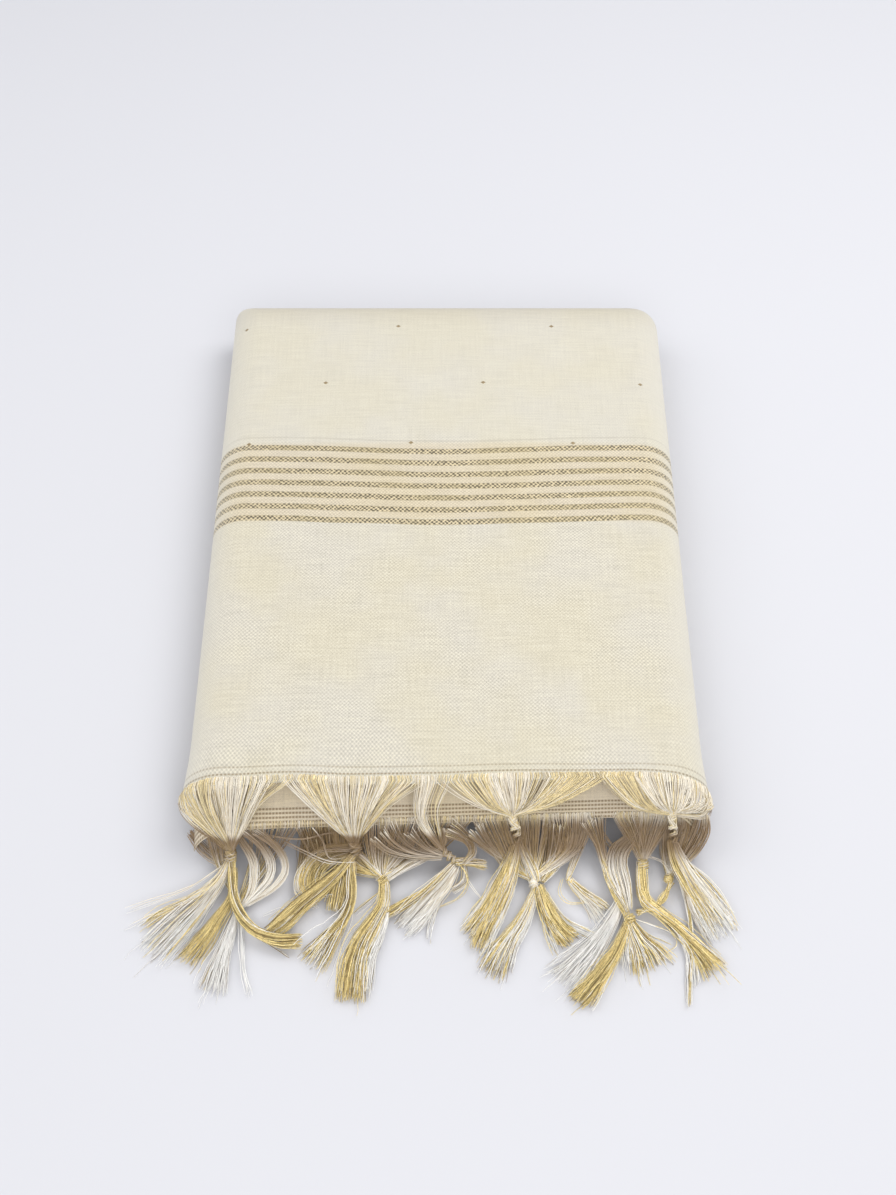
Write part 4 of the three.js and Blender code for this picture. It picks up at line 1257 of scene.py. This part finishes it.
def shell_piece(name, points_at, columns, rows, thickness, material, length_scale=1.0):
    """A thin closed shell between a form's outer face and the one a thickness deeper. It thins
    out at its hem, where only the outer plies reach."""
    across, along = np.meshgrid(columns, rows)
    from_hem = (along - rows[0]) * length_scale
    depth = thickness * np.clip(HEM_THINNING + from_hem / HEM_TAPER, 0, 1)
    outer = points_at(across, along, 0.0).reshape(-1, 3)
    inner = points_at(across, along, depth).reshape(-1, 3)
    place = np.stack([across.ravel(), from_hem.ravel()], axis=-1)
    faces = shell_faces(len(rows), len(columns))
    return mesh_piece(name, np.concatenate([outer, inner]), faces, np.concatenate([place, place]), material)


def steps_between(start, stop, step):
    return np.linspace(start, stop, max(2, round(abs(stop - start) / step) + 1))


def build_first_end(settings, groups):
    side = SIDE_ROLL * SIDE_TURN
    far = SIDE_ROLL * FAR_TURN
    columns = steps_between(-FLAT_HALF_WIDTH - side, FLAT_HALF_WIDTH + side, FIRST_STEP)
    rows = steps_between(FIRST_HEM, FLAT_FAR + far, FIRST_STEP)
    material = first_end_material(settings, groups)
    piece = shell_piece("first_end_cloth", first_end_points, columns, rows, settings.thickness / MM, material)
    return piece, (np.ptp(columns) * MM, np.ptp(rows) * MM)


def build_second_end(settings, groups):
    roll = SECOND_ROLL * SECOND_TURN
    edge = SECOND_FLAT_HALF_WIDTH + roll
    columns = steps_between(-edge, edge, SECOND_STEP)
    rows = steps_between(0.0, 1.0, 1 / SECOND_ROWS)
    material = second_end_material(settings, groups)
    piece = shell_piece(
        "second_end_cloth", second_end_points, columns, rows, settings.thickness / MM, material, SECOND_LENGTH
    )
    return piece, (np.ptp(columns) * MM, SECOND_LENGTH * MM)


def layer_height(level):
    return (level + 0.5) * LAYER_PITCH


def strip_line():
    """The middle line of the strip that is folded into the hidden layers: y, z and level."""
    line = []
    here = STRIP_START
    for order, level in enumerate(STRIP_ORDER):
        last = order == len(STRIP_ORDER) - 1
        if last:
            stop = STRIP_END
        else:
            turn = STRIP_TURNS[order]
            outward = math.copysign(turn.reach, turn.tip)
            stop = turn.tip - outward
        for y in steps_between(here, stop, STRIP_STEP)[1:]:
            line.append((y, layer_height(level), float(level)))
        if last:
            break
        after = STRIP_ORDER[order + 1]
        for angle in np.linspace(0, math.pi, STRIP_TURN_STEPS)[1:-1]:
            share = (1 - math.cos(angle)) / 2
            z = layer_height(level) + (layer_height(after) - layer_height(level)) * share
            line.append((stop + outward * math.sin(angle), z, level + (after - level) * share))
        here = stop
        line.append((here, layer_height(after), float(after)))
    return np.array(line)


def layer_corner(y, level):
    """How far a layer's side draws in where its corner is rounded."""
    if y < 0:
        radius = LAYER_CORNERS["near_low" if level < NEAR_LOW_BELOW else "near_high"]
        over = -y - (NEAR_TIP - radius)
    else:
        radius = LAYER_CORNERS["far_low" if level < FAR_LOW_BELOW else "far_high"]
        over = y - (FAR_TIP - radius)
    if over <= 0:
        return 0.0
    return radius * (1 - math.sqrt(max(1 - (over / radius) ** 2, 0)))


def strip_section():
    """Round the strip's section: the share of its half width, how far its edge draws in, and
    its height. Each side shows the two folds of its plies, one on the other."""
    half = LAYER_THICKNESS / 2
    bump = half / 2
    flat = [(share, 0.0, half) for share in np.linspace(-0.9, 0.9, 6)]
    side = []
    for middle in (bump, -bump):
        for angle in np.linspace(80, -80, 6):
            turn = math.radians(angle)
            side.append((1.0, PLY_ROUNDING * bump * (1 - math.cos(turn)), middle + bump * math.sin(turn)))
    right = [(1.0, EDGE_INSET, half), *side, (1.0, EDGE_INSET, -half)]
    top_and_right = flat + right
    return top_and_right + [(-share, inset, -height) for share, inset, height in top_and_right]


def build_folded_layers(settings, groups):
    line = strip_line()
    ahead = np.gradient(line[:, :2], axis=0)
    ahead /= np.linalg.norm(ahead, axis=1)[:, None]
    travelled = np.concatenate([[0], np.cumsum(np.linalg.norm(np.diff(line[:, :2], axis=0), axis=1))])
    section = strip_section()
    around = len(section)
    points, places = [], []
    for (y, z, level), (ahead_y, ahead_z), gone in zip(line, ahead, travelled):
        width = np.interp(level, range(len(LAYER_HALF_WIDTHS)), LAYER_HALF_WIDTHS)
        width -= layer_corner(y, level)
        for share, inset, height in section:
            side_phase = 2.1 if share < 0 else 0
            sway = 0.45 * math.sin(y / 23 + 1.7 * level + side_phase) + 0.25 * math.sin(y / 9 + level)
            x = share * width - math.copysign(inset - sway * (abs(share) > 0.95), share)
            points.append((x, y - ahead_z * height, max(z + ahead_y * height, 0.1)))
            places.append((x + height, gone))
    rings = len(line)
    faces = []
    for j in range(rings - 1):
        for i in range(around):
            a, b = j * around + i, j * around + (i + 1) % around
            faces.append((a, b, b + around, a + around))
    faces.append(tuple(range(around))[::-1])
    faces.append(tuple(range((rings - 1) * around, rings * around)))
    material = layers_material(settings, groups)
    piece = mesh_piece("folded_layers_cloth", np.array(points), faces, np.array(places), material)
    face_outwards(piece)
    return piece, (STACK_WIDTH * MM, travelled[-1] * MM)


def face_outwards(piece):
    """Turns a closed mesh's faces round where they point inwards."""
    volume = 0.0
    for face in piece.data.polygons:
        corners = [piece.data.vertices[i].co for i in face.vertices]
        for b, c in zip(corners[1:-1], corners[2:]):
            volume += corners[0].dot(b.cross(c))
    if volume < 0:
        piece.data.flip_normals()


# ---------------------------------------------------------------- fringe


def thread_tree():
    """Turns each guide line into a bundle of fine threads that wave, end unevenly and taper."""
    inputs = (
        ("Guides", "NodeSocketGeometry", None),
        ("Steps", "NodeSocketInt", 16),
        ("Radius", "NodeSocketFloat", 0.0002),
        ("Floor", "NodeSocketFloat", 0.0003),
        ("Seed", "NodeSocketInt", 0),
        ("Material", "NodeSocketMaterial", None),
    )
    tree, bench, given, out = new_group(
        "Fringe threads", "GeometryNodeTree", inputs, (("Threads", "NodeSocketGeometry"),)
    )
    tree.is_modifier = True

    def named(name):
        return bench.add("GeometryNodeInputNamedAttribute", {"Name": name}, data_type="FLOAT").outputs[0]

    def per_thread(low, high, offset):
        seed = bench.math("ADD", given["Seed"], float(offset))
        source = bench.add("FunctionNodeRandomValue", {"Seed": seed}, data_type="FLOAT")
        lowest, highest = [socket for socket in source.inputs if socket.enabled][:2]
        lowest.default_value = low
        highest.default_value = high
        holder = bench.add("GeometryNodeFieldOnDomain", domain="CURVE", data_type="FLOAT")
        bench.put(holder.inputs[0], source.outputs[1])
        return holder.outputs[0]

    curves = bench.add("GeometryNodeMeshToCurve", {"Mesh": given["Guides"]}).outputs[0]
    curves = bench.add("GeometryNodeCurveSplineType", {"Curve": curves}, spline_type="CATMULL_ROM").outputs[0]
    curves = bench.add("GeometryNodeResampleCurve", {"Curve": curves, "Count": given["Steps"]}).outputs[0]
    copies = bench.add(
        "GeometryNodeDuplicateElements", {"Geometry": curves, "Amount": named("threads")}, domain="SPLINE"
    ).outputs[0]

    scatter = bench.combine(per_thread(-1.0, 1.0, 1), per_thread(-1.0, 1.0, 2), per_thread(-1.0, 1.0, 3))
    copies = bench.add(
        "GeometryNodeSetPosition", {"Geometry": copies, "Offset": bench.scale(scatter, named("open"))}
    ).outputs[0]
    place = bench.add("GeometryNodeInputPosition").outputs[0]
    own = bench.vector("ADD", bench.scale(place, 70.0), bench.scale(scatter, 9.0))
    wave = bench.vector("SUBTRACT", bench.noise(own, 1.0, 2.0, 0.6)["Color"], (0.5, 0.5, 0.5))
    copies = bench.add(
        "GeometryNodeSetPosition", {"Geometry": copies, "Offset": bench.scale(wave, named("wave"))}
    ).outputs[0]
    shorter = bench.math("MULTIPLY", per_thread(0.0, 1.0, 4), named("ragged"))
    copies = bench.add(
        "GeometryNodeTrimCurve", {"Curve": copies, "End": bench.math("SUBTRACT", 1.0, shorter)}, mode="FACTOR"
    ).outputs[0]
    x, y, z = bench.split(bench.add("GeometryNodeInputPosition").outputs[0])
    above = bench.combine(x, y, bench.math("MAXIMUM", z, given["Floor"]))
    copies = bench.add("GeometryNodeSetPosition", {"Geometry": copies, "Position": above}).outputs[0]

    is_gold = bench.math("LESS_THAN", per_thread(0.0, 1.0, 5), named("zari"))
    for name, value in (("gold", is_gold), ("tone", per_thread(0.0, 1.0, 6))):
        copies = bench.add(
            "GeometryNodeStoreNamedAttribute", {"Geometry": copies, "Name": name}, domain="CURVE",
            data_type="FLOAT",
        )
        bench.put(copies.inputs["Value"], value)
        copies = copies.outputs[0]

    profile = bench.add("GeometryNodeCurvePrimitiveCircle", {"Resolution": 3}, mode="RADIUS")
    bench.put(profile.inputs["Radius"], given["Radius"])
    along = bench.add("GeometryNodeSplineParameter").outputs["Factor"]
    taper = bench.math("MULTIPLY", bench.ramp(along, 0.86, 1.0, 1.0, 0.6), per_thread(0.8, 1.2, 7))
    tubes = bench.add("GeometryNodeCurveToMesh", {"Curve": copies, "Profile Curve": profile.outputs[0]})
    tubes.inputs["Fill Caps"].default_value = True
    bench.put(tubes.inputs["Scale"], taper)
    smooth = bench.add("GeometryNodeSetShadeSmooth", {"Geometry": tubes.outputs[0]}).outputs[0]
    real = bench.add("GeometryNodeRealizeInstances", {"Geometry": smooth}).outputs[0]
    done = bench.add("GeometryNodeSetMaterial", {"Geometry": real, "Material": given["Material"]}).outputs[0]
    bench.put(out.inputs["Threads"], done)
    return tree


Guide = namedtuple("Guide", "points open wave zari ragged threads")


def to_step(value):
    return round(value / PLACE_STEP) * PLACE_STEP


def seen_place(spot):
    """The place, in millimetres, at a spot's height where the camera sees it."""
    right = (spot.across - FRAME_WIDTH / 2) / FOCAL_IN_PIXELS
    below = (spot.down - FRAME_HEIGHT / 2) / FOCAL_IN_PIXELS
    ahead = math.cos(CAMERA_DOWN) - below * math.sin(CAMERA_DOWN)
    rise = -math.sin(CAMERA_DOWN) - below * math.cos(CAMERA_DOWN)
    camera_x, camera_y, camera_z = CAMERA_PLACE
    reach = (spot.height - camera_z) / rise
    return to_step(camera_x + reach * right), to_step(camera_y + reach * ahead), spot.height


def seen_fan(fan, hem):
    """A fan in millimetres, with all its threads."""
    view = HEM_VIEWS[hem]
    return fan._replace(
        start=to_step((fan.start - view.middle) * view.span),
        stop=to_step((fan.stop - view.middle) * view.span),
        by=seen_place(Spot._make(fan.by)),
        threads=max(FEWEST_IN_FAN, round(fan.threads * FULLNESS)),
    )


def seen_bundle(bundle):
    """A bundle in millimetres, with all its threads."""
    line = []
    for station in map(Station._make, bundle.line):
        line.append((*seen_place(station), round(station.width * BUNDLE_SPAN, WIDTH_DECIMALS)))
    threads = bundle.threads
    if threads > FEW_THREADS:
        threads = round(threads * FULLNESS)
    return bundle._replace(threads=threads, line=line)


def hem_point(hem, x, inside):
    """A place on the cloth at a hem, or a little inside it, in millimetres."""
    if hem == "first":
        flat, roll, points_at = FLAT_HALF_WIDTH, SIDE_ROLL, first_end_points
        along = FIRST_HEM + inside
    else:
        flat, roll, points_at = SECOND_FLAT_HALF_WIDTH, SECOND_ROLL, second_end_points
        along = inside / SECOND_LENGTH
    beyond = abs(x) - flat
    across = math.copysign(flat + roll * math.asin(min(beyond / roll, 1)), x) if beyond > 0 else x
    return points_at(np.array([across]), np.array([along]), -THREAD_LIFT)[0]


def fan_guides(tassel, fan):
    """Guides from the hem, side by side, into the top of the knot."""
    count = max(3, round(fan.threads / THREADS_IN_FAN_GUIDE))
    opening = hem_point(tassel.hem, fan.stop, 0) - hem_point(tassel.hem, fan.start, 0)
    across = opening / np.linalg.norm(opening)
    top, foot = np.array(tassel.top, float), np.array(tassel.foot, float)
    for share in np.linspace(0, 1, count):
        x = fan.start + (fan.stop - fan.start) * share
        via = np.array(fan.by, float) + opening * (share - 0.5) * 0.55
        side = across * (share - 0.5) * tassel.girth
        points = [
            hem_point(tassel.hem, x, FAN_ROOT), hem_point(tassel.hem, x, 0), via, top + side,
            (top + foot) / 2 + side * 0.4,
        ]
        yield Guide(points, FAN_OPEN, FAN_WAVE, fan.gold, 0.0, THREADS_IN_FAN_GUIDE)


def bundle_guides(bundle):
    """Guides side by side and one above the other along a bundle's line."""
    line = np.array(bundle.line, float)
    width = line[:, 3]
    ahead = np.gradient(line[:, :2], axis=0)
    ahead /= np.linalg.norm(ahead, axis=1)[:, None]
    across = np.stack([ahead[:, 1], -ahead[:, 0], np.zeros(len(line))], axis=1)
    high = np.minimum(width, 0.3 * width + 1.0)
    grown = np.linspace(0, 1, len(line))
    turn = math.tau * bundle.turns * grown
    count = max(1, round(bundle.threads / THREADS_IN_GUIDE))
    loose = 2.4 if bundle.ragged > LOOSE_FROM else 1.2
    if bundle.ragged > LOOSE_FROM:
        stray = 0.6 + 2.4 * grown
        strays = bundle.threads * STRAY_SHARE
        yield Guide(line[:, :3], 0.5 + 0.6 * width, 2 * stray, bundle.gold, bundle.ragged, strays)
    for i in range(count):
        a = (2 * i + 1) / count - 1
        b = math.sqrt(1 - a * a) * math.sin(i * GOLDEN_ANGLE)
        points = line[:, :3] + across * (0.5 * width * (a * np.cos(turn) - b * np.sin(turn)))[:, None]
        points[:, 2] += 0.5 * high * (a * np.sin(turn) + b * np.cos(turn))
        open_by = 0.3 + 1.1 * width / count
        wave = 0.9 + loose * grown ** 1.5
        yield Guide(points, open_by, wave, bundle.gold, bundle.ragged, bundle.threads / count)


def knot_guides(tassel):
    """Turns of thread wound round the knot, with one turn pulled across them."""
    top, foot = np.array(tassel.top, float), np.array(tassel.foot, float)
    axis = (top - foot) / np.linalg.norm(top - foot)
    side = np.cross(axis, (0.0, 1.0, 0.3))
    side /= np.linalg.norm(side)
    out = np.cross(axis, side)
    reach = tassel.girth * KNOT_REACH
    steps = STEPS_IN_TURN * tassel.turns
    points = []
    for angle in np.linspace(0, math.tau * tassel.turns, steps):
        share = angle / (math.tau * tassel.turns)
        middle = foot + (top - foot) * (1.15 * share - 0.075)
        swell = reach * (0.85 + 0.3 * math.sin(math.pi * share))
        points.append(middle + swell * (side * math.cos(angle) + out * math.sin(angle)))
    wound_open = [tassel.girth * WOUND_OPEN] * steps
    yield Guide(points, wound_open, [0.5] * steps, tassel.gold, 0.0, WOUND_THREADS)
    cross = []
    for k, (a, b) in enumerate(SLANT):
        share = k / (len(SLANT) - 1)
        cross.append(top + (foot - top) * share + reach * SLANT_REACH * (side * a + out * b * 0.8))
    slant_open = [tassel.girth * SLANT_OPEN] * len(cross)
    yield Guide(cross, slant_open, [0.4] * len(cross), tassel.gold, 0.0, SLANT_THREADS)


def guide_mesh(name, guides):
    """One mesh of loose lines whose points carry what the thread tree reads."""
    points, edges = [], []
    values = {"open": [], "wave": [], "zari": [], "ragged": [], "threads": []}
    for guide in guides:
        start = len(points)
        count = len(guide.points)
        points.extend(np.array(point) * MM for point in guide.points)
        edges.extend((start + i, start + i + 1) for i in range(count - 1))
        values["open"].extend(value * MM for value in guide.open)
        values["wave"].extend(value * MM for value in guide.wave)
        for key, value in (("zari", guide.zari), ("ragged", guide.ragged), ("threads", guide.threads)):
            values[key].extend([float(value)] * count)
    mesh = bpy.data.meshes.new(name)
    mesh.from_pydata([tuple(point) for point in points], edges, [])
    for key, numbers in values.items():
        mesh.attributes.new(key, "FLOAT", "POINT").data.foreach_set("value", numbers)
    return mesh


def set_modifier_input(modifier, name, value):
    """Sets a modifier's input by its socket's identifier."""
    socket = next(item for item in modifier.node_group.interface.items_tree if item.name == name)
    modifier[socket.identifier] = value


def plain_mesh(piece):
    """Swaps a piece's live modifiers for the mesh that they make."""
    bpy.context.view_layer.update()
    evaluated = piece.evaluated_get(bpy.context.evaluated_depsgraph_get())
    made = bpy.data.meshes.new_from_object(evaluated)
    old = piece.data
    piece.modifiers.clear()
    piece.data = made
    bpy.data.meshes.remove(old)
    return piece


def build_tassel(tassel, seed, settings, tree, material):
    guides = []
    for fan in tassel.fans:
        guides.extend(fan_guides(tassel, seen_fan(fan, tassel.hem)))
    guides.extend(knot_guides(tassel))
    for bundle in tassel.bundles:
        guides.extend(bundle_guides(seen_bundle(bundle)))
    name = f"fringe_{tassel.name}"
    piece = bpy.data.objects.new(name, guide_mesh(name, guides))
    bpy.context.scene.collection.objects.link(piece)
    modifier = piece.modifiers.new("threads", "NODES")
    modifier.node_group = tree
    set_modifier_input(modifier, "Steps", settings.steps)
    set_modifier_input(modifier, "Radius", settings.radius)
    set_modifier_input(modifier, "Floor", FLOOR_CLEARANCE * MM)
    set_modifier_input(modifier, "Seed", seed)
    set_modifier_input(modifier, "Material", material)
    return plain_mesh(piece)


# ---------------------------------------------------------------- operators


def shader_groups():
    """The shader groups, built once and then shared."""
    makers = {"weave": ("Ground weave", weave_group), "lines": ("Woven lines", lines_group),
              "motif": ("Woven dots", motif_group)}
    return {key: bpy.data.node_groups.get(name) or make() for key, (name, make) in makers.items()}


def settle(piece, slot, *nodes):
    """Ties a finished piece to the frame."""
    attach(piece, BODY)
    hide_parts(*nodes)


class DUPATTA_OT_folded_layers(bpy.types.Operator):
    """Make the hidden layers: one strip, folded three times"""

    bl_idname = "dupatta.folded_layers"
    bl_label = "Folded layers"

    def execute(self, context):
        piece, flat = build_folded_layers(context.scene.dupatta_cloth, shader_groups())
        settle(piece, "cloth", "folded_layers")
        return {"FINISHED"}


class DUPATTA_OT_second_end(bpy.types.Operator):
    """Make the second end, which hangs out under the first"""

    bl_idname = "dupatta.second_end"
    bl_label = "Second end"

    def execute(self, context):
        piece, flat = build_second_end(context.scene.dupatta_cloth, shader_groups())
        settle(piece, "cloth", "second_end")
        return {"FINISHED"}


class DUPATTA_OT_first_end(bpy.types.Operator):
    """Make the first end, which wraps the stack and carries the stripes"""

    bl_idname = "dupatta.first_end"
    bl_label = "First end"

    def execute(self, context):
        piece, flat = build_first_end(context.scene.dupatta_cloth, shader_groups())
        settle(piece, "cloth", "first_end")
        return {"FINISHED"}


class DUPATTA_OT_fringe(bpy.types.Operator):
    """Make the knotted tassels of both hems"""

    bl_idname = "dupatta.fringe"
    bl_label = "Fringe"

    def execute(self, context):
        settings = context.scene.dupatta_fringe
        tree = thread_tree()
        material = fringe_material(settings)
        for seed, tassel in enumerate(TASSELS):
            piece = build_tassel(tassel, 20 * seed, settings, tree, material)
            settle(piece, "fringe", f"tassel_{tassel.name}")
        return {"FINISHED"}


class DUPATTA_OT_stage(bpy.types.Operator):
    """Make the floor, the lights and the camera"""

    bl_idname = "dupatta.stage"
    bl_label = "Stage"

    def execute(self, context):
        settings = context.scene.dupatta_stage
        build_floor(settings)
        build_lights(settings)
        build_camera()
        context.scene.view_settings.view_transform = "Standard"
        return {"FINISHED"}


def build_floor(settings):
    mesh = bpy.data.meshes.new("floor")
    corners = [(x * FLOOR_HALF, y * FLOOR_HALF, 0) for x, y in ((-1, -1), (1, -1), (1, 1), (-1, 1))]
    mesh.from_pydata(corners, [], [(0, 1, 2, 3)])
    mesh.materials.append(floor_material(settings))
    floor = bpy.data.objects.new("floor", mesh)
    bpy.context.scene.collection.objects.link(floor)


def add_softbox(box, power):
    data = bpy.data.lights.new(box.name, "AREA")
    data.shape = "RECTANGLE"
    data.size, data.size_y = box.size
    data.energy = power * box.share
    light = bpy.data.objects.new(box.name, data)
    light.location = box.place
    light.rotation_euler = (Vector(box.target) - Vector(box.place)).to_track_quat("-Z", "Y").to_euler()
    bpy.context.scene.collection.objects.link(light)


def build_lights(settings):
    for box in SOFTBOXES:
        add_softbox(box, settings.softbox)
    world = bpy.data.worlds.new("soft light all round")
    world.use_nodes = True
    bpy.context.scene.world = world
    bench = Bench(world.node_tree)
    sky = bench.add("ShaderNodeBackground", {"Color": SKY_WHITE, "Strength": settings.sky})
    bench.put(bench.add("ShaderNodeOutputWorld").inputs["Surface"], sky.outputs[0])


def build_camera():
    data = bpy.data.cameras.new("camera")
    data.sensor_fit = "VERTICAL"
    data.sensor_height = SENSOR_HEIGHT
    data.lens = SENSOR_HEIGHT * FOCAL_IN_PIXELS / FRAME_HEIGHT
    camera = bpy.data.objects.new("camera", data)
    camera.location = Vector(CAMERA_PLACE) * MM
    camera.rotation_euler = (math.pi / 2 - CAMERA_DOWN, 0, 0)
    bpy.context.scene.collection.objects.link(camera)
    bpy.context.scene.camera = camera


# ---------------------------------------------------------------- panel and registration


class VIEW3D_PT_dupatta(bpy.types.Panel):
    bl_label = "Dupatta"
    bl_space_type = "VIEW_3D"
    bl_region_type = "UI"
    bl_category = "Dupatta"

    def draw(self, context):
        scene = context.scene
        for settings in (scene.dupatta_cloth, scene.dupatta_fringe, scene.dupatta_stage):
            for name in settings.__annotations__:
                self.layout.prop(settings, name)
        for operator in OPERATORS:
            self.layout.operator(operator.bl_idname)


SETTINGS = {
    "dupatta_cloth": ClothSettings,
    "dupatta_fringe": FringeSettings,
    "dupatta_stage": StageSettings,
}
OPERATORS = (
    DUPATTA_OT_folded_layers,
    DUPATTA_OT_fringe,
    DUPATTA_OT_second_end,
    DUPATTA_OT_first_end,
    DUPATTA_OT_stage,
)


def register():
    for name, settings in SETTINGS.items():
        bpy.utils.register_class(settings)
        setattr(bpy.types.Scene, name, PointerProperty(type=settings))
    for operator in OPERATORS:
        bpy.utils.register_class(operator)
    bpy.utils.register_class(VIEW3D_PT_dupatta)


def unregister():
    bpy.utils.unregister_class(VIEW3D_PT_dupatta)
    for operator in reversed(OPERATORS):
        bpy.utils.unregister_class(operator)
    for name, settings in SETTINGS.items():
        delattr(bpy.types.Scene, name)
        bpy.utils.unregister_class(settings)


def main():
    register()
    for run in (
        bpy.ops.dupatta.folded_layers,
        bpy.ops.dupatta.fringe,
        bpy.ops.dupatta.second_end,
        bpy.ops.dupatta.first_end,
        bpy.ops.dupatta.stage,
    ):
        run()


if __name__ == "__main__":
    main()
